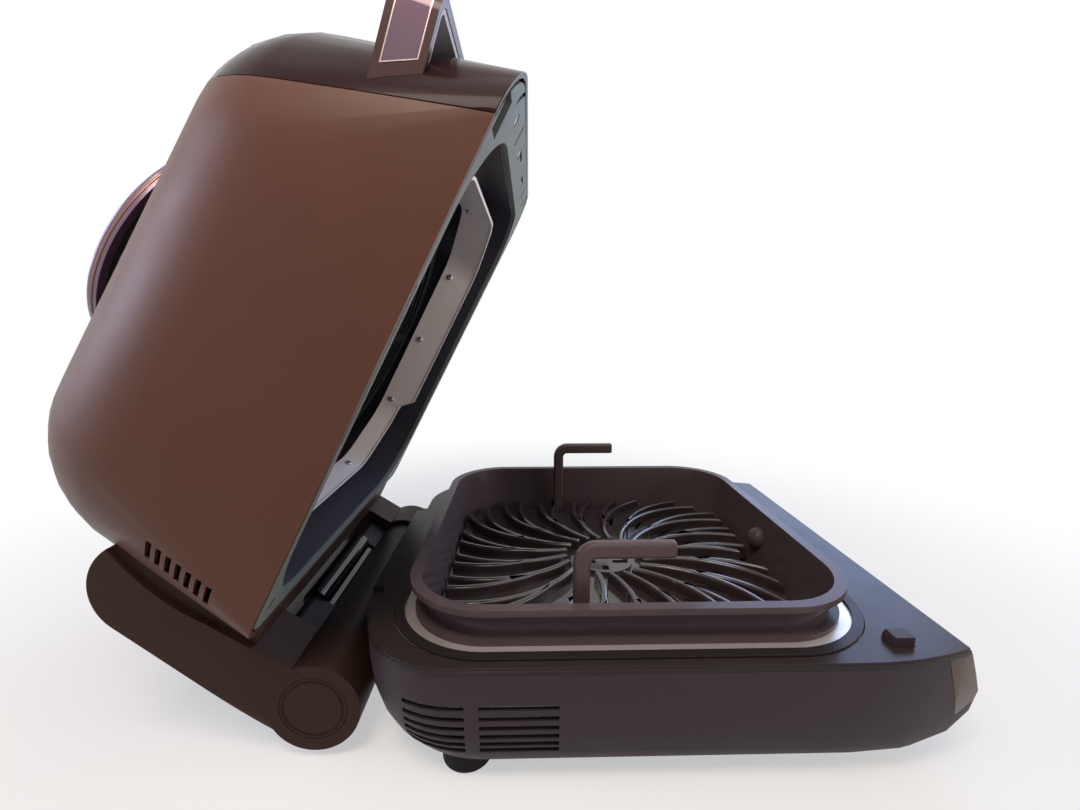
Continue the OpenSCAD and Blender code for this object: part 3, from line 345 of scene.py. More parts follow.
@dataclass(frozen=True)
class PolishedPlastic(Finish):
    """Glossy moulded plastic with hairline scratches and finger smudges."""

    roughness: float = 0.14
    coat: float = 0.5
    metal: float = 0.0
    flake: float = 0.0
    specular: float = 0.4
    coat_roughness: float = 0.06
    mottle: float = 0.12
    clouds: float = 12.0
    smudges: float = 38.0
    smudge_edge: Span = (0.4, 0.8)
    smudge_gloss: float = 0.06
    smudge_coat: float = 0.15
    hairs: float = 60.0
    hair_stretch: Triple = (1.0, 22.0, 22.0)
    hair_tilt: float = 24.0
    hair_edge: Span = (0.62, 0.7)
    hair_gloss: float = 0.05
    hair_depth: float = 0.00002
    waves: float = 55.0
    wave_depth: float = 0.0004
    flakes: float = 2600.0
    flake_edge: Span = (0.32, 0.1)
    flake_glint: float = 1.9

    def dress(self, sheet: Sheet) -> None:
        """Gives deep colour, smudged gloss and faint waves of the mould.

        Args:
            sheet: The node tree to fill.
        """
        base = shade(self.colour)
        cloud = sheet.noise(self.clouds, 3.0)
        smudge = sheet.step(sheet.noise(self.smudges, 5.0), *self.smudge_edge)
        hair = sheet.noise(self.hairs, 3.0, sheet.turned(self.hair_stretch, self.hair_tilt))
        scratch = sheet.step(hair, *self.hair_edge)
        tone = sheet.blend(cloud, toned(base, 1 - self.mottle), toned(base, 1 + self.mottle))
        if self.flake:
            spark = sheet.step(sheet.cells(self.flakes), *self.flake_edge)
            tone = sheet.blend(spark * self.flake, tone, toned(base, self.flake_glint))
        scored = sheet.bump(hair, self.hair_depth, 0.3)
        sheet.surface({
            "Base Color": tone,
            "Roughness": self.roughness + smudge * self.smudge_gloss + scratch * self.hair_gloss,
            "Metallic": self.metal,
            "Specular IOR Level": self.specular,
            "Coat Weight": self.coat * (1.0 - smudge * self.smudge_coat),
            "Coat Roughness": self.coat_roughness,
            "Normal": sheet.bump(sheet.noise(self.waves, 1.0), self.wave_depth, 0.1, scored),
        })


@dataclass(frozen=True)
class BrushedMetal(Finish):
    """Sheet metal with brush lines and dull handling marks."""

    roughness: float = 0.34
    metal: float = 1.0
    stretch: Triple = (1.0, 60.0, 60.0)
    tilt: float = 0.0
    lines: float = 30.0
    line_gloss: float = 0.22
    line_depth: float = 0.00003
    line_tones: Span = (0.88, 1.1)
    stains: float = 28.0
    stain_edge: Span = (0.58, 0.82)
    stain_share: float = 0.35
    stain_tone: float = 0.65
    dull_edge: Span = (0.5, 0.8)
    dull_gloss: float = 0.12

    def dress(self, sheet: Sheet) -> None:
        """Gives line noise in colour, gloss and normal, with stains over it.

        Args:
            sheet: The node tree to fill.
        """
        base = shade(self.colour)
        line = sheet.noise(self.lines, 4.0, sheet.turned(self.stretch, self.tilt))
        mark = sheet.noise(self.stains, 4.0)
        stain = sheet.step(mark, *self.stain_edge) * self.stain_share
        dull = sheet.step(mark, *self.dull_edge) * self.dull_gloss
        tone = sheet.blend(line, toned(base, self.line_tones[0]), toned(base, self.line_tones[1]))
        sheet.surface({
            "Base Color": sheet.blend(stain, tone, toned(base, self.stain_tone)),
            "Metallic": self.metal,
            "Roughness": self.roughness + (line - 0.5) * self.line_gloss + dull,
            "Normal": sheet.bump(line, self.line_depth, 0.5),
        })


@dataclass(frozen=True)
class Coating(Finish):
    """Dark non-stick or enamel coating with fine flakes; raised parts may be paler, partly from rubbed
    wear and partly as a painted highlight.
    """

    roughness: float = 0.3
    coat: float = 0.3
    flake: float = 0.25
    specular: float = 0.5
    lumps: float = 0.04
    wear_and_highlight_colour: str | None = None
    wear_and_highlight_heights: Span = (0.0, 1.0)
    wear_and_highlight_share: float = 0.4
    wear_and_highlight_gloss: float = 0.04
    wear_and_highlight_patches: float = 60.0
    patch_edge: Span = (0.25, 0.75)
    coat_roughness: float = 0.1
    mottle: float = 0.15
    clouds: float = 20.0
    cloud_gloss: float = 0.1
    grain: float = 900.0
    grain_gloss: float = 0.08
    grain_depth: float = 0.00003
    flakes: float = 1400.0
    flake_edge: Span = (0.3, 0.06)
    flake_glint: float = 2.2
    lump_scale: float = 90.0
    lump_depth: float = 0.0006

    def dress(self, sheet: Sheet) -> None:
        """Gives flakes, cast lumps and, between two heights, a paler colour that is partly rubbed wear and
        partly a painted highlight.

        Args:
            sheet: The node tree to fill.
        """
        base = shade(self.colour)
        cloud = sheet.noise(self.clouds, 4.0)
        grain = sheet.noise(self.grain, 3.0)
        spark = sheet.step(sheet.cells(self.flakes), *self.flake_edge) * self.flake
        tone = sheet.blend(cloud, toned(base, 1 - self.mottle), toned(base, 1 + self.mottle))
        tone = sheet.blend(spark, tone, toned(base, self.flake_glint))
        gloss = self.roughness + (cloud - 0.5) * self.cloud_gloss + (grain - 0.5) * self.grain_gloss
        coat: Signal | float = self.coat
        # Between the heights the colour turns paler: partly rubbed wear, partly a painted highlight on the
        # rim and the rib tops.
        if self.wear_and_highlight_colour is not None:
            rise = sheet.step(sheet.along((0.0, 0.0, 1.0)), *self.wear_and_highlight_heights)
            wear_and_highlight = rise * sheet.step(sheet.noise(self.wear_and_highlight_patches, 4.0), *self.patch_edge)
            tone = sheet.blend(wear_and_highlight * self.wear_and_highlight_share, tone, shade(self.wear_and_highlight_colour))
            gloss = gloss + wear_and_highlight * self.wear_and_highlight_gloss
            coat = self.coat * (1.0 - wear_and_highlight * self.wear_and_highlight_share)
        lumpy = sheet.bump(sheet.noise(self.lump_scale), self.lump_depth, self.lumps)
        sheet.surface({
            "Base Color": tone,
            "Roughness": gloss,
            "Specular IOR Level": self.specular,
            "Coat Weight": coat,
            "Coat Roughness": self.coat_roughness,
            "Normal": sheet.bump(grain, self.grain_depth, 0.3, lumpy),
        })


@dataclass(frozen=True)
class Rubber(Finish):
    """Soft rubber, dull and a little dusty."""

    roughness: float = 0.72
    specular: float = 0.2
    dust_colour: str = "#443c3b"
    dust: float = 70.0
    dust_edge: Span = (0.4, 0.8)
    dust_share: float = 0.2
    dust_gloss: float = 0.18
    pebbles: float = 1300.0
    pebble_depth: float = 0.0001

    def dress(self, sheet: Sheet) -> None:
        """Gives dusty colour and a fine pebble.

        Args:
            sheet: The node tree to fill.
        """
        dust = sheet.step(sheet.noise(self.dust, 5.0), *self.dust_edge)
        sheet.surface({
            "Base Color": sheet.blend(dust * self.dust_share, shade(self.colour), shade(self.dust_colour)),
            "Roughness": self.roughness + dust * self.dust_gloss,
            "Specular IOR Level": self.specular,
            "Normal": sheet.bump(sheet.cells(self.pebbles), self.pebble_depth, 0.5),
        })


@dataclass(frozen=True)
class HeaterSteel(Finish):
    """Oxidised heating tube with straw and blue heat tints."""

    cold_place: float = 0.3
    tints: tuple[tuple[float, str], ...] = ((0.48, "#4a3a30"), (0.6, "#3c3f4a"), (0.75, "#2a2523"))
    bands: float = 18.0
    scales: float = 420.0
    scale_gloss: float = 0.3
    scale_depth: float = 0.00008
    roughness: float = 0.42
    metal: float = 0.7

    def dress(self, sheet: Sheet) -> None:
        """Gives tints in bands, over a scaly dark skin.

        Args:
            sheet: The node tree to fill.
        """
        stops = [(place, shade(code)) for place, code in ((self.cold_place, self.colour), *self.tints)]
        heat = sheet.noise(self.bands, 3.0)
        scale = sheet.noise(self.scales, 4.0)
        sheet.surface({
            "Base Color": sheet.add("ShaderNodeValToRGB", {"stops": stops}, {"Fac": heat}),
            "Metallic": self.metal,
            "Roughness": self.roughness + (scale - 0.5) * self.scale_gloss,
            "Normal": sheet.bump(scale, self.scale_depth, 0.5),
        })


@dataclass(frozen=True)
class CircuitBoard(Finish):
    """Green lacquered board with copper tracks under the lacquer."""

    roughness: float = 0.34
    copper: str = "#3f7a4c"
    tracks: float = 160.0
    track_stretch: Triple = (1.0, 0.25, 1.0)
    track_edge: Span = (0.12, 0.08)
    track_share: float = 0.8
    track_gloss: float = 0.08
    track_depth: float = 0.00005

    def dress(self, sheet: Sheet) -> None:
        """Gives tracks from stretched cells, with a satin lacquer.

        Args:
            sheet: The node tree to fill.
        """
        track = sheet.step(sheet.cells(self.tracks, sheet.turned(self.track_stretch)), *self.track_edge)
        sheet.surface({
            "Base Color": sheet.blend(track * self.track_share, shade(self.colour), shade(self.copper)),
            "Roughness": self.roughness - track * self.track_gloss,
            "Normal": sheet.bump(track, self.track_depth, 0.4),
        })


class Look(Enum):
    """The cooker's finishes."""

    LID = MouldedPlastic("lid_brown", "#54362b", roughness=0.42, specular=0.18, grain=1500.0,
                         depth=0.00004, dust=0.3)
    BASE = MouldedPlastic("base_brown", "#3a3238", roughness=0.46, specular=0.14)
    DECK = MouldedPlastic("deck_brown", "#332d2e", roughness=0.28, specular=0.12, depth=0.00004)
    BRACKET = MouldedPlastic("bracket_brown", "#35251f", specular=0.12, grain=1600.0)
    FASCIA = PolishedPlastic("fascia_brown", "#291617", roughness=0.18, coat=0.04, specular=0.06)
    BOW = PolishedPlastic("bow_brown", "#452f2d", roughness=0.24, coat=0.08, specular=0.2)
    INLAY = PolishedPlastic("inlay_plum", "#685262", roughness=0.2, coat=0.25, metal=0.2, flake=0.3,
                            specular=0.25)
    INLAY_EDGE = PolishedPlastic("inlay_edge", "#c4aeac", roughness=0.22, coat=0.3, metal=0.4)
    CAP = PolishedPlastic("cap_plum", "#75627a", roughness=0.2, coat=0.3, metal=0.2, flake=0.3,
                          specular=0.3)
    CAP_RING = BrushedMetal("cap_ring_bronze", "#7c5c48", roughness=0.4, metal=0.8)
    PANEL = PolishedPlastic("panel_brown", "#4d3b2e", roughness=0.24, coat=0.08, specular=0.16)
    WINDOW = PolishedPlastic("window_black", "#07080a", roughness=0.08, coat=0.2, specular=0.25)
    KEY = PolishedPlastic("key_grey", "#8d8987", roughness=0.3, coat=0.2)
    GUARD = PolishedPlastic("guard_black", "#0d0d11", roughness=0.12, coat=0.2)
    FRAME = MouldedPlastic("frame_grey", "#6b736d", roughness=0.48, specular=0.12, grain=1500.0)
    # The lining's pale grey is lighter than its own grey, standing in for light that the narrow gap under
    # the bow keeps from it: painted light.
    UNDERSIDE = MouldedPlastic("underside_grey", "#cfcbc8", roughness=0.46, specular=0.16, grain=1800.0)
    DARK = MouldedPlastic("dark_plastic", "#171314", roughness=0.52, specular=0.14, grain=1800.0)
    TRIM = MouldedPlastic("trim_dark", "#2a2627", roughness=0.34, specular=0.1, grain=1800.0)
    RECESS = Coating("recess_enamel", "#34323a", roughness=0.42, coat=0.05, flake=0.12, specular=0.15)
    SOOT = Coating("soot_enamel", "#0c0c0e", roughness=0.68, coat=0.0, flake=0.12, specular=0.04)
    # The pot's rim and the grill's rib tops are paler: partly rubbed wear, partly a painted highlight.
    POT = Coating("pot_coating", "#52474b", roughness=0.2, coat=0.03, flake=0.12, specular=0.07,
                  wear_and_highlight_colour="#655a5b", wear_and_highlight_heights=(0.0965, 0.101))
    GRILL = Coating("grill_coating", "#3a3032", roughness=0.16, coat=0.35, flake=0.15, specular=0.4,
                    lumps=0.08, wear_and_highlight_colour="#453a3c", wear_and_highlight_heights=(0.061, 0.067))
    LIFTER = Coating("lifter_coating", "#544547", roughness=0.36, coat=0.05, flake=0.15, specular=0.2)
    STEEL = BrushedMetal("bright_steel", "#aaa39c")
    FLANGE = BrushedMetal("flange_steel", "#d6d0d2", metal=0.6)
    # The band's near-white, nearly matt colour is partly the steel's own and partly a painted reflection
    # of bright surroundings, with painted light making up for the recess's shade.
    REFLECTOR = BrushedMetal("reflector_steel", "#f0e6e2", roughness=0.42, metal=0.1,
                             stretch=(1.0, 40.0, 40.0), tilt=62.0)
    BOLT = BrushedMetal("bolt_steel", "#b9b7b3", roughness=0.28)
    ALLOY = BrushedMetal("fan_alloy", "#9a948c", roughness=0.42)
    BRONZE = BrushedMetal("bush_bronze", "#a5824a", roughness=0.4)
    HEATER = HeaterSteel("heater_steel", "#2c2826")
    BOARD = CircuitBoard("board_green", "#174a2e")
    FOOT = Rubber("foot_rubber", "#141111")


class Domain(Enum):
    """What an edit selects."""

    FACE = "FACE"
    EDGE = "EDGE"


class Bench:
    """Mesh work on one piece at a time with Blender's own operators; angles are in degrees."""

    MERGE: float = 0.000002
    CAD_MERGE: float = 0.00003
    FLAT: float = 0.3
    SHARP: float = 38.0
    SMOOTH: float = 32.0
    RING_SMOOTH: float = 50.0
    NORMAL_WEIGHT: int = 60

    @staticmethod
    def clear() -> None:
        """Deselects everything before a new primitive is added."""
        bpy.ops.object.select_all(action="DESELECT")

    @classmethod
    def only(cls, piece: Piece) -> None:
        """Selects one object and makes it active.

        Args:
            piece: The object.
        """
        cls.clear()
        piece.select_set(True)
        bpy.context.view_layer.objects.active = piece

    @staticmethod
    def edit(name: str) -> Piece:
        """Names the primitive that was just added and opens it for editing, all of it selected.

        Args:
            name: The piece's name.

        Returns:
            The piece.
        """
        piece = bpy.context.active_object
        piece.name = name
        bpy.ops.object.mode_set(mode="EDIT")
        bpy.ops.mesh.select_all(action="SELECT")
        return piece

    @classmethod
    def close(cls) -> None:
        """Merges doubles, turns the faces outwards and leaves edit mode."""
        bpy.ops.mesh.select_all(action="SELECT")
        bpy.ops.mesh.remove_doubles(threshold=cls.MERGE)
        bpy.ops.mesh.normals_make_consistent(inside=False)
        bpy.ops.object.mode_set(mode="OBJECT")

    @staticmethod
    def pick(piece: Piece, domain: Domain, test: Callable[[Vector, Vector], bool]) -> None:
        """Selects, in edit mode, the faces or edges that pass a test.

        Args:
            piece: The piece in edit mode.
            domain: Faces or edges.
            test: Takes the middle, and the normal of a face or the direction of an edge.
        """
        bpy.ops.mesh.select_mode(type=domain.value)
        bpy.ops.mesh.select_all(action="DESELECT")
        bpy.ops.object.mode_set(mode="OBJECT")
        mesh = piece.data
        if domain is Domain.FACE:
            for face in mesh.polygons:
                face.select = test(face.center, face.normal)
        else:
            for edge in mesh.edges:
                start, end = (mesh.vertices[v].co for v in edge.vertices)
                edge.select = test((start + end) / 2, (end - start).normalized())
        bpy.ops.object.mode_set(mode="EDIT")

    @classmethod
    def finish(cls, piece: Piece, kind: str, **settings: object) -> None:
        """Adds one modifier and applies it.

        Args:
            piece: The object to change.
            kind: The modifier's type.
            settings: The modifier's settings.
        """
        cls.only(piece)
        modifier = piece.modifiers.new(kind.lower(), kind)
        for key, value in settings.items():
            setattr(modifier, key, value)
        bpy.ops.object.modifier_apply(modifier=modifier.name)

    @classmethod
    def soften(cls, piece: Piece, edge: float, steps: int = 2, smooth: float = SMOOTH) -> None:
        """Rounds the sharp edges of a piece and shades it smoothly.

        Args:
            piece: The object to change.
            edge: Width of the softened edges, or 0 for none.
            steps: Segments across an edge.
            smooth: Angle below which faces are shaded as one.
        """
        if edge > 0:
            cls.finish(piece, "BEVEL", width=edge, segments=steps, limit_method="ANGLE",
                       angle_limit=math.radians(cls.SHARP), use_clamp_overlap=True)
        cls.only(piece)
        bpy.ops.object.shade_smooth_by_angle(angle=math.radians(smooth))
        cls.finish(piece, "WEIGHTED_NORMAL", keep_sharp=True, weight=cls.NORMAL_WEIGHT)

    @classmethod
    def recast(cls, node: str, edge: float, steps: int = 2) -> Piece:
        """Makes a joined-up copy of a CAD node with softened edges, which then stands for it.

        Args:
            node: The CAD node's name.
            edge: Width of the softened edges, or 0 for none.
            steps: Segments across an edge.

        Returns:
            The new piece.
        """
        source = frame["nodes"][node]
        piece = bpy.data.objects.new(f"{node}_form", source.data.copy())
        bpy.context.scene.collection.objects.link(piece)
        cls.only(piece)
        bpy.ops.mesh.customdata_custom_splitnormals_clear()
        bpy.ops.object.mode_set(mode="EDIT")
        bpy.ops.mesh.select_all(action="SELECT")
        bpy.ops.mesh.remove_doubles(threshold=cls.CAD_MERGE)
        bpy.ops.mesh.dissolve_limited(angle_limit=math.radians(cls.FLAT))
        bpy.ops.object.mode_set(mode="OBJECT")
        cls.soften(piece, edge, steps)
        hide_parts(node)
        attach(piece, source["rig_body"])
        return piece

    @classmethod
    def settle(cls, piece: Piece, place: Matrix) -> None:
        """Puts a piece in its place and moves that place into its mesh.

        Args:
            piece: The object to place.
            place: Where it goes.
        """
        piece.matrix_world = place
        cls.only(piece)
        bpy.ops.object.transform_apply(location=True, rotation=True, scale=True)

    @classmethod
    def joined(cls, name: str, pieces: list[Piece]) -> Piece:
        """Joins several pieces into one.

        Args:
            name: The joined piece's name.
            pieces: The pieces, of which the first takes in the others.

        Returns:
            The joined piece.
        """
        cls.only(pieces[0])
        for piece in pieces[1:]:
            piece.select_set(True)
        bpy.ops.object.join()
        pieces[0].name = name
        return pieces[0]

    @classmethod
    def repeat(cls, piece: Piece, name: str, places: list[Matrix]) -> Piece:
        """Puts copies of a piece in several places, joins them and takes the piece itself away.

        Args:
            piece: The piece to copy.
            name: The joined copies' name.
            places: Where the copies go.

        Returns:
            The joined copies.
        """
        copies = []
        for place in places:
            copy = bpy.data.objects.new(name, piece.data.copy())
            bpy.context.scene.collection.objects.link(copy)
            cls.settle(copy, place)
            copies.append(copy)
        bpy.data.objects.remove(piece)
        return cls.joined(name, copies)

    @classmethod
    def ring(cls, name: str, radius: float, width: float, height: float, steps: int) -> Piece:
        """Turns a small rounded section about Z.

        Args:
            name: The ring's name.
            radius: Radius of the section's middle.
            width: Width of the section, along the radius.
            height: Height of the section.
            steps: Steps round the ring.

        Returns:
            The ring, about the origin.
        """
        corner = min(width, height) * 0.3
        cls.clear()
        bpy.ops.mesh.primitive_plane_add(size=1.0)
        piece = cls.edit(name)
        bpy.ops.transform.resize(value=(width, height, 1.0))
        bpy.ops.mesh.bevel(offset=corner, segments=3, affect="VERTICES")
        bpy.ops.transform.rotate(value=math.pi / 2, orient_axis="X", center_override=(0, 0, 0))
        bpy.ops.transform.translate(value=(radius, 0, 0))
        bpy.ops.mesh.delete(type="ONLY_FACE")
        bpy.ops.mesh.select_all(action="SELECT")
        bpy.ops.mesh.spin(steps=steps, angle=2 * math.pi, center=(0, 0, 0), axis=(0, 0, 1))
        cls.close()
        cls.only(piece)
        bpy.ops.object.shade_smooth_by_angle(angle=math.radians(cls.RING_SMOOTH))
        return piece

    @classmethod
    def screw(cls, name: str, radius: float, height: float) -> Piece:
        """Models a domed screw head with a cross recess, its seat on the ground plane.

        Args:
            name: The head's name.
            radius: Radius of the head.
            height: Height of the head.

        Returns:
            The head, about the origin.
        """
        arm, slit, dome = radius * 1.15, radius * 0.26, radius * 0.3
        cls.clear()
        bpy.ops.mesh.primitive_cube_add(size=1.0)
        cutter = cls.edit(f"{name}_cross")
        bpy.ops.transform.resize(value=(arm, slit, height))
        bpy.ops.mesh.duplicate()
        bpy.ops.transform.rotate(value=math.pi / 2, orient_axis="Z", center_override=(0, 0, 0))
        bpy.ops.mesh.select_all(action="SELECT")
        bpy.ops.transform.translate(value=(0, 0, height))
        bpy.ops.object.mode_set(mode="OBJECT")
        cls.clear()
        bpy.ops.mesh.primitive_cylinder_add(vertices=32, radius=radius, depth=height)
        piece = cls.edit(name)
        bpy.ops.transform.translate(value=(0, 0, height / 2))
        cls.pick(piece, Domain.FACE, lambda middle, normal: normal.z > FACING)
        for rise in (0.25, 0.1):
            bpy.ops.mesh.inset(thickness=dome)
            bpy.ops.transform.translate(value=(0, 0, height * rise))
        bpy.ops.object.mode_set(mode="OBJECT")
        cls.finish(piece, "BOOLEAN", object=cutter, operation="DIFFERENCE", solver="EXACT", use_self=True)
        bpy.data.objects.remove(cutter)
        cls.soften(piece, radius * 0.06)
        return piece

    @staticmethod
    def paint(piece: Piece, *looks: Look) -> None:
        """Gives a piece its finish, and reports it.

        Args:
            piece: The piece.
            looks: Its finish, or several that its faces choose from.
        """
        piece.data.materials.clear()
        for look in looks:
            piece.data.materials.append(look.value.material())
        LOG.info("%s in %s", piece.name, looks[0].name.lower())


def dress(node: str, look: Look, edge: float | None = None, steps: int = 2) -> Piece:
    """Gives a CAD node its finish, with softened edges if an edge width is given.

    Args:
        node: The CAD node's name.
        look: Its finish.
        edge: Width of the softened edges; None keeps the CAD node itself.
        steps: Segments across an edge.

    Returns:
        The piece that shows.
    """
    piece = frame["nodes"][node] if edge is None else Bench.recast(node, edge, steps)
    Bench.paint(piece, look)
    return piece


def pot_middle() -> Vector:
    """Returns the point of the ground under the pot's middle."""
    low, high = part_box("cooking_pot")
    return Vector(((low.x + high.x) / 2, (low.y + high.y) / 2, 0.0))


def hinge_record() -> dict:
    """Returns what the record says of the lid's hinge."""
    return next(joint for joint in frame["record"]["behaviour"]["joints"] if joint["name"] == "lid_hinge")


@dataclass
class Base:
    """The housing, deck, liner, feet and front panel."""

    edge: float = 0.0008
    round_edge: float = 0.0012
    small_edge: float = 0.0006
    trim_edge: float = 0.0005
    thin_edge: float = 0.0003
    guard_edge: float = 0.004
    shoulder_out: float = 0.0868
    shoulder_lap: float = 0.001
    shoulder_root: float = 0.016
    shoulder_tip: float = 0.0425
    shoulder_t: float = 0.011
    shoulder_lean: float = 35.6
    key_r: float = 0.0075
    key_line: float = 0.0009
    key_rise: float = 0.0005
    key_dot_r: float = 0.0018
    key_dot_line: float = 0.0015
    key_places: tuple[float, ...] = (-0.108, -0.085, 0.085, 0.108)
    key_search: float = 0.2

    def build(self) -> None:
        """Dresses every piece of the base and adds dark plates by the hinge guard, partly painted shade,
        and the touch keys.
        """
        dress("base_shell", Look.BASE, self.edge)
        dress("deck", Look.DECK, self.round_edge, 3)
        panel = dress("control_panel", Look.PANEL, self.small_edge)
        dress("display_window", Look.WINDOW, self.thin_edge)
        dress("control_board", Look.BOARD)
        dress("base_floor", Look.DARK)
        dress("well_trim", Look.TRIM, self.trim_edge)
        dress("well_liner", Look.FLANGE, self.thin_edge)
        for side in SIDES:
            dress(f"foot_front_{side}", Look.FOOT, self.small_edge)
            dress(f"foot_rear_{side}", Look.FOOT, self.small_edge)
        dress("interlock_switch", Look.DARK)
        dress("interlock_plunger", Look.BASE, self.round_edge, 3)
        dress("cord_gland", Look.DARK, self.small_edge)
        dress("hinge_pin", Look.BOLT)
        dress("hinge_cover", Look.GUARD, self.guard_edge, 4)
        self.guard_shade_plates()
        dress("base_screws", Look.BOLT)
        self.touch_keys(panel)

    def guard_shade_plates(self) -> None:
        """Adds dark rounded plates between the hinge guard's ends and the lid's arms: partly a shield,
        partly painted shade filling the gap there.
        """
        guard_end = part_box("hinge_cover")[1].x
        axis = Vector(hinge_record()["pos_m"])
        length = self.shoulder_out - guard_end + self.shoulder_lap
        Bench.clear()
        bpy.ops.mesh.primitive_cube_add(size=1.0)
        plate = Bench.edit("guard_shade_plate")
        bpy.ops.transform.resize(value=(length, self.shoulder_tip - self.shoulder_root, self.shoulder_t))
        bpy.ops.transform.translate(value=(0, (self.shoulder_tip + self.shoulder_root) / 2, 0))
        Bench.pick(plate, Domain.EDGE,
                   lambda middle, run: abs(run.x) > FACING and middle.y > self.shoulder_tip - NEAR)
        bpy.ops.mesh.bevel(offset=self.shoulder_t * 0.49, segments=6, affect="EDGES")
        Bench.close()
        Bench.soften(plate, self.small_edge)
        lean = Matrix.Rotation(math.radians(self.shoulder_lean), 4, "X")
        across = guard_end + length / 2 - self.shoulder_lap
        spots = [Matrix.Translation((sign * across, axis.y, axis.z)) @ lean for sign in (-1, 1)]
        piece = Bench.repeat(plate, "guard_shade_plates", spots)
        # The plates are near-black so that the gap shows painted shade.
        Bench.paint(piece, Look.DARK)
        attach(piece, "base")

    def touch_keys(self, panel: Piece) -> None:
        """Sets ring-shaped touch keys on the front panel, beside the window.

        Args:
            panel: The front panel that shows.
        """
        low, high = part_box("display_window")
        bpy.context.view_layer.update()
        ring = Bench.ring("touch_key", self.key_r, self.key_line, self.key_rise, 48)
        dot = Bench.ring("touch_key_dot", self.key_dot_r, self.key_dot_line, self.key_rise, 24)
        key = Bench.joined("touch_key", [ring, dot])
        spots = []
        for across in self.key_places:
            start = Vector((across, low.y - self.key_search, (low.z + high.z) / 2))
            hit, spot, normal, _ = panel.ray_cast(start, Vector((0, 1, 0)))
            if hit:
                turn = normal.to_track_quat("Z", "Y").to_matrix().to_4x4()
                spots.append(Matrix.Translation(spot) @ turn)
        piece = Bench.repeat(key, "touch_keys", spots)
        Bench.paint(piece, Look.KEY)
        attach(piece, "base")


@dataclass
class Reflector:
    """The bent band round the lid's recess, with a turned-in hem and cross-head screws."""

    half: float = 0.130
    chamfer: float = 0.044
    bend: float = 0.014
    low: float = 0.092
    height: float = 0.030
    step_y: float = 0.062
    step_run: float = 0.014
    step_z: float = 0.103
    hem: float = 0.0016
    flange: float = 0.0118
    wall: float = 0.001
    smooth: float = 40.0
    screw_r: float = 0.0027
    screw_h: float = 0.0014
    screw_z: float = 0.114
    screw_spread: tuple[float, ...] = (-0.070, 0.0, 0.070)
    screw_twist: float = 9.0

    def build(self, place: Matrix) -> None:
        """Models the band and its screws where the open lid holds them."""
        self.band(place)
        self.screws(place)

    def band(self, place: Matrix) -> None:
        """Bends a strip into eight sides, cuts it back behind, turns its edges and dresses it.

        Args:
            place: Takes a shape round the pot's middle to the open lid.
        """
        Bench.clear()
        bpy.ops.mesh.primitive_plane_add(size=2 * self.half)
        piece = Bench.edit("reflector_form")
        bpy.ops.mesh.bevel(offset=self.chamfer, segments=1, affect="VERTICES")
        bpy.ops.mesh.bevel(offset=self.bend, segments=5, affect="VERTICES")
        bpy.ops.mesh.delete(type="ONLY_FACE")
        bpy.ops.mesh.select_all(action="SELECT")
        bpy.ops.transform.translate(value=(0, 0, self.low))
        bpy.ops.mesh.extrude_region_move(TRANSFORM_OT_translate={"value": (0, 0, self.height)})
        self.cut_back(piece)
        self.turn_edges(piece)
        Bench.close()
        Bench.finish(piece, "SOLIDIFY", thickness=self.wall, offset=0.0, use_even_offset=True)
        Bench.soften(piece, self.wall * 0.3, 2, self.smooth)
        Bench.settle(piece, place)
        Bench.paint(piece, Look.REFLECTOR)
        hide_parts("reflector_band")
        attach(piece, "lid")

    def cut_back(self, piece: Piece) -> None:
        """Takes away the lower part of the strip behind a slanted step.

        Args:
            piece: The strip in edit mode.
        """
        slant = Vector((0, 1, -self.step_run / (self.step_z - self.low)))
        corner = Vector((0, self.step_y, self.low))
        bpy.ops.mesh.select_all(action="SELECT")
        bpy.ops.mesh.bisect(plane_co=corner, plane_no=slant)
        bpy.ops.mesh.select_all(action="SELECT")
        bpy.ops.mesh.bisect(plane_co=(0, 0, self.step_z), plane_no=(0, 0, 1))
        Bench.pick(piece, Domain.FACE,
                   lambda middle, normal: middle.z < self.step_z and (middle - corner).dot(slant) > 0)
        bpy.ops.mesh.delete(type="FACE")

    def turn_edges(self, piece: Piece) -> None:
        """Turns the upper edge out into a flange and the lower edge in as a hem.

        Args:
            piece: The strip in edit mode.
        """
        top = self.low + self.height
        turns = (
            (lambda middle, run: middle.z > top - NEAR and abs(run.z) < LEVEL, self.flange, top),
            (self.is_low_edge, -self.hem, self.low),
        )
        for test, reach, level in turns:
            Bench.pick(piece, Domain.EDGE, test)
            bpy.ops.mesh.extrude_region_move(TRANSFORM_OT_translate={"value": (0, 0, 0)})
            grown = 1 + reach / self.half
            bpy.ops.transform.resize(value=(grown, grown, 1), center_override=(0, 0, level))

    def is_low_edge(self, middle: Vector, run: Vector) -> bool:
        """Tells whether an edge lies along the band's lower side.

        Args:
            middle: The edge's middle.
            run: The edge's direction.

        Returns:
            True for the lower edges, the slanted ones of the step among them.
        """
        if LEVEL < abs(run.z) < FACING:
            return middle.z < self.step_z
        floor = self.step_z if middle.y > self.step_y + self.step_run - NEAR else self.low
        return abs(run.z) < LEVEL and abs(middle.z - floor) < NEAR

    def screws(self, place: Matrix) -> None:
        """Sets cross-head screws along the four long sides.

        Args:
            place: Takes a shape round the pot's middle to the open lid.
        """
        head = Bench.screw("reflector_screw", self.screw_r, self.screw_h)
        inward = Matrix.Rotation(-math.pi / 2, 4, "Y")
        spots = []
        for quarter in range(4):
            side = Matrix.Rotation(quarter * math.pi / 2, 4, "Z")
            for spread in self.screw_spread:
                spot = Matrix.Translation((self.half - self.wall, spread, self.screw_z))
                turn = inward @ Matrix.Rotation(spread * self.screw_twist, 4, "Z")
                spots.append(place @ side @ spot @ turn)
        piece = Bench.repeat(head, "reflector_screw_heads", spots)
        Bench.paint(piece, Look.BOLT)
        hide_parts("reflector_screws")
        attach(piece, "lid")


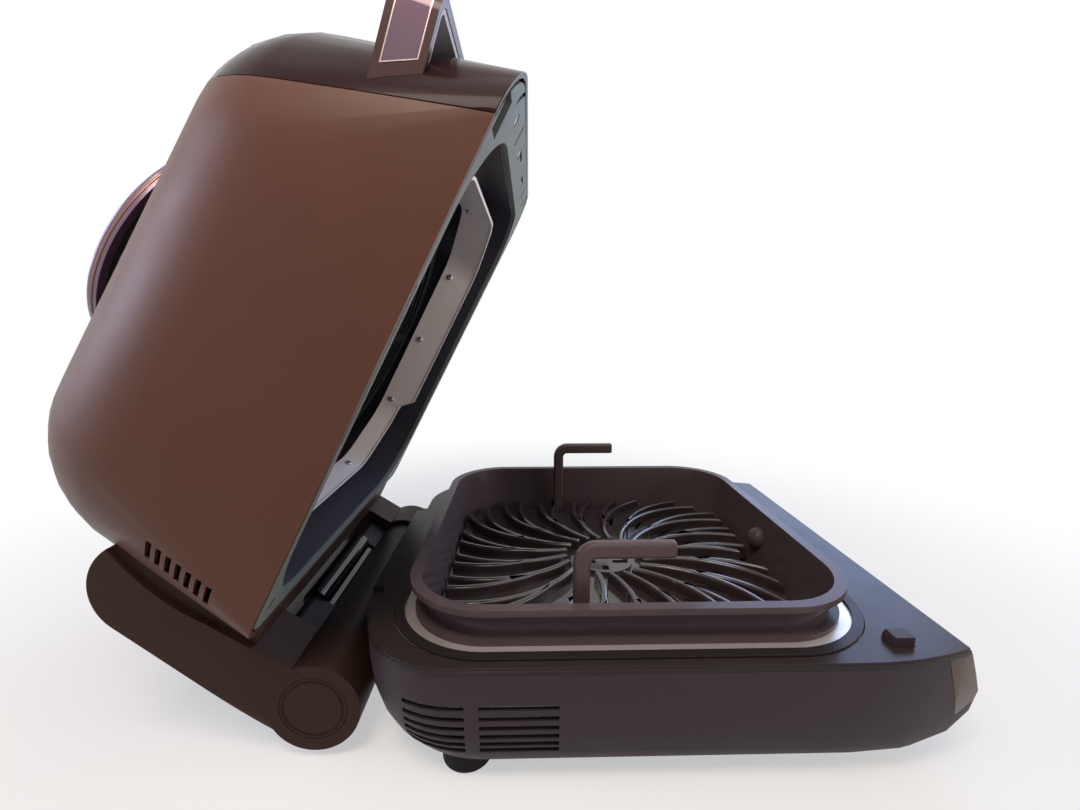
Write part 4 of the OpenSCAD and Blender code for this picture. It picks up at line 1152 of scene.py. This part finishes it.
@dataclass
class Lid:
    """The lid's shell, its inside, its handle and its hinge bracket."""

    edge: float = 0.0007
    round_edge: float = 0.0012
    lining_edge: float = 0.001
    small_edge: float = 0.0006
    thin_edge: float = 0.0005
    liner_edge: float = 0.0004
    vent_y: float = 0.005
    vent_z: float = 0.2530
    vent_tilt: float = 5.294
    cap_r: float = 0.086
    cap_top: float = 0.0160
    cap_steps: int = 120
    ring_z: float = 0.0112
    ring_section: Span = (0.0008, 0.0014)
    line_places: tuple[float, ...] = (0.066, 0.072)
    line_section: Span = (0.0022, 0.0011)
    inlay_line: float = 0.0006
    inlay_reach: float = 0.05
    inlay_lean: float = 0.3

    def swing(self) -> Matrix:
        """Works out how the hinge turns the shut lid open.

        Returns:
            The turn about the hinge's axis.
        """
        hinge = hinge_record()
        pivot = Matrix.Translation(Vector(hinge["pos_m"]))
        opening = math.radians(hinge["range_deg"][1] - hinge["range_deg"][0])
        return pivot @ Matrix.Rotation(opening, 4, Vector(hinge["axis"])) @ pivot.inverted()

    def build(self) -> None:
        """Dresses every piece of the lid and adds its fine pieces."""
        swing = self.swing()
        place = swing @ Matrix.Translation(pot_middle())
        dress("lid_shell", Look.LID, self.edge)
        dress("lid_fascia", Look.FASCIA, self.edge)
        dress("lid_frame", Look.FRAME, self.thin_edge)
        dress("cavity_liner", Look.RECESS, self.liner_edge)
        Reflector().build(place)
        self.inside()
        dress("vent_cap", Look.CAP, self.thin_edge)
        self.cap_rings(place)
        dress("vent_grille", Look.DARK)
        dress("hinge_bracket", Look.BRACKET, self.round_edge, 3)
        for side in SIDES:
            dress(f"hinge_cap_{side}", Look.BRACKET, self.small_edge)
            dress(f"hinge_bush_{side}", Look.BRONZE)
        self.handle(swing)

    def inside(self) -> None:
        """Dresses the heater, the guard, the fan and the motor."""
        for node, look in (
            ("heating_element", Look.HEATER), ("element_clips", Look.SOOT), ("fan_guard", Look.SOOT),
            ("motor", Look.ALLOY), ("motor_bracket", Look.STEEL), ("lid_frame_screws", Look.BOLT),
            ("circulation_fan", Look.ALLOY), ("motor_shaft", Look.BOLT), ("cooling_fan", Look.DARK),
            ("fan_nut", Look.BOLT),
        ):
            dress(node, look)

    def cap_rings(self, place: Matrix) -> None:
        """Lays a bronze line round the vent cap's edge and two raised lines on its face.

        Args:
            place: Takes a shape round the pot's middle to the open lid.
        """
        tilt = Matrix.Rotation(math.radians(self.vent_tilt), 4, "X")
        face = place @ Matrix.Translation((0, self.vent_y, self.vent_z)) @ tilt
        edge = Bench.ring("vent_cap_edge", self.cap_r, *self.ring_section, self.cap_steps)
        lines = [Bench.ring(f"vent_cap_line_{count}", radius, *self.line_section, self.cap_steps)
                 for count, radius in enumerate(self.line_places)]
        raised = Bench.joined("vent_cap_lines", lines)
        for piece, height, look in ((edge, self.ring_z, Look.CAP_RING), (raised, self.cap_top, Look.CAP)):
            Bench.settle(piece, face @ Matrix.Translation((0, 0, height)))
            Bench.paint(piece, look)
            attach(piece, "lid")

    def handle(self, swing: Matrix) -> None:
        """Dresses the bow, its inlay with a pale edge line, and its lining.

        Args:
            swing: Turns the shut lid open.
        """
        dress("handle_bow", Look.BOW, self.round_edge, 3)
        dress("handle_underside", Look.UNDERSIDE, self.lining_edge)
        piece = Bench.recast("handle_inlay", 0.0)
        Bench.paint(piece, Look.INLAY, Look.INLAY_EDGE)
        outward = swing.to_3x3() @ Vector((0, -1, 0))
        widest = max(piece.data.polygons, key=lambda face: face.area * face.normal.dot(outward))
        normal_out = widest.normal.copy()
        across = normal_out.cross(Vector((1, 0, 0))).normalized()
        low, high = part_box("handle_inlay")
        core = (low + high) / 2 - normal_out * self.inlay_reach
        Bench.only(piece)
        bpy.ops.object.mode_set(mode="EDIT")
        Bench.pick(piece, Domain.FACE, lambda middle, normal: (
            abs(normal.dot(across)) < self.inlay_lean and normal.dot(middle - core) > 0))
        piece.active_material_index = 1
        bpy.ops.object.material_slot_assign()
        bpy.ops.mesh.inset(thickness=self.inlay_line, use_boundary=True)
        piece.active_material_index = 0
        bpy.ops.object.material_slot_assign()
        bpy.ops.object.mode_set(mode="OBJECT")


@dataclass
class Cookware:
    """The pot, the grill plate and its lifting handles."""

    rim_edge: float = 0.0014
    rib_edge: float = 0.0019
    plate_edge: float = 0.0004
    lifter_edge: float = 0.0014

    def build(self) -> None:
        """Dresses the pot, the plate and the handles."""
        dress("cooking_pot", Look.POT, self.rim_edge, 3)
        self.round_ribs(dress("grill_plate", Look.GRILL, 0.0))
        for side in SIDES:
            dress(f"grill_lifter_{side}", Look.LIFTER, self.lifter_edge, 3)

    def round_ribs(self, plate: Piece) -> None:
        """Rounds the tops of the ribs.

        Args:
            plate: The grill plate, with its edges still sharp.
        """
        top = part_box("grill_plate")[1].z
        Bench.only(plate)
        bpy.ops.object.mode_set(mode="EDIT")
        Bench.pick(plate, Domain.FACE,
                   lambda middle, normal: normal.z > FACING and middle.z > top - self.rib_edge)
        bpy.ops.mesh.region_to_loop()
        bpy.ops.mesh.bevel(offset=self.rib_edge, segments=4, affect="EDGES", clamp_overlap=False)
        bpy.ops.object.mode_set(mode="OBJECT")
        Bench.soften(plate, self.plate_edge)


@dataclass(frozen=True)
class Lamp:
    """A soft square lamp: its place, the side of its face, its power in watts, its tint and its target."""

    name: str
    place: Triple
    size: float
    power: float
    tint: str
    target: Triple = (0.0, 0.0, 0.15)

    def hang(self) -> None:
        """Adds the lamp to the scene, facing its target."""
        data = bpy.data.lights.new(self.name, "AREA")
        data.shape = "SQUARE"
        data.size = self.size
        data.energy = self.power
        data.color = shade(self.tint)[:3]
        lamp = bpy.data.objects.new(self.name, data)
        lamp.location = self.place
        aim = Vector(self.target) - Vector(self.place)
        lamp.rotation_euler = aim.to_track_quat("-Z", "Y").to_euler()
        bpy.context.scene.collection.objects.link(lamp)


@dataclass
class Studio:
    """Floor, lamps, sky and camera; the camera's angles are in degrees and its lens in millimetres."""

    floor_half: float = 6.0
    floor_drop: float = 0.0005
    floor_colour: str = "#f2f1ef"
    shadow_in: float = 0.28
    shadow_out: float = 0.75
    shadow_share: float = 0.5
    sky_light: float = 0.1
    sky_tint: Shade = (1.0, 0.985, 0.97, 1.0)
    eye: Triple = (-0.3994, -0.0160, 0.2613)
    pitch: float = 80.385
    yaw: float = -91.263
    lens: float = 16.881
    sensor: float = 36.0
    clip: float = 0.01
    lamps: tuple[Lamp, ...] = (
        Lamp("ceiling_lamp", (-0.2, -0.3, 1.7), 1.2, 7.0, "#fff8f0"),
        Lamp("key_lamp", (-0.45, 0.15, 0.8), 0.3, 3.7, "#ffecdc", (0.0, 0.1, 0.3)),
        Lamp("rear_lamp", (-0.2, 1.4, 0.7), 0.7, 9.0, "#dfe0ff", (0.0, 0.15, 0.25)),
        Lamp("front_lamp", (-0.6, -1.4, 0.45), 0.7, 7.5, "#fff4ea", (0.0, 0.1, 0.25)),
        Lamp("window_lamp", (0.5, -1.6, 0.9), 1.0, 4.0, "#d6e4ff"),
        Lamp("far_lamp", (1.1, -0.95, 0.8), 0.7, 7.0, "#a2c1ff"),
    )

    def floor(self) -> None:
        """Lays a pale floor that turns to plain white away from the cooker and keeps its shadow."""
        Bench.clear()
        bpy.ops.mesh.primitive_plane_add(size=2 * self.floor_half, location=(0, 0, -self.floor_drop))
        ground = bpy.context.active_object
        ground.name = "studio_floor"
        sheet = Sheet(bpy.data.materials.new("studio_floor"))
        reach = sheet.add("ShaderNodeVectorMath", {"operation": "LENGTH"}, {0: sheet.place()}, "Value")
        near = sheet.step(reach, self.shadow_out, self.shadow_in) * self.shadow_share
        bare = (1.0 - near) * sheet.background()
        matt = sheet.add("ShaderNodeBsdfDiffuse", {}, {"Color": shade(self.floor_colour)})
        white = sheet.add("ShaderNodeEmission", {}, {"Color": WHITE, "Strength": 1.0})
        mixed = sheet.add("ShaderNodeMixShader", {}, {0: bare, 1: matt, 2: white})
        sheet.add("ShaderNodeOutputMaterial", {}, {"Surface": mixed})
        ground.data.materials.append(sheet.owner)

    def sky(self) -> None:
        """Sets an even sky that shows as white."""
        world = bpy.data.worlds.new("studio_sky")
        bpy.context.scene.world = world
        sheet = Sheet(world)
        soft = sheet.add("ShaderNodeBackground", {}, {"Color": self.sky_tint, "Strength": self.sky_light})
        white = sheet.add("ShaderNodeBackground", {}, {"Color": WHITE, "Strength": 1.0})
        mixed = sheet.add("ShaderNodeMixShader", {}, {0: sheet.background(), 1: soft, 2: white})
        sheet.add("ShaderNodeOutputWorld", {}, {"Surface": mixed})

    def camera(self) -> None:
        """Sets the camera where the photograph was taken from."""
        data = bpy.data.cameras.new("photo_camera")
        data.sensor_width = self.sensor
        data.lens = self.lens
        data.clip_start = self.clip
        camera = bpy.data.objects.new("photo_camera", data)
        camera.location = self.eye
        camera.rotation_euler = (math.radians(self.pitch), 0.0, math.radians(self.yaw))
        bpy.context.scene.collection.objects.link(camera)
        bpy.context.scene.camera = camera

    def build(self) -> None:
        """Sets up the studio."""
        bpy.context.scene.view_settings.view_transform = "Standard"
        self.floor()
        for lamp in self.lamps:
            lamp.hang()
        self.sky()
        self.camera()


def main() -> None:
    """Builds each sub-assembly in order, then the studio."""
    logging.basicConfig(level=logging.INFO, format="%(name)s: %(message)s")
    Base().build()
    Lid().build()
    Cookware().build()
    Studio().build()


if __name__ == "__main__":
    main()
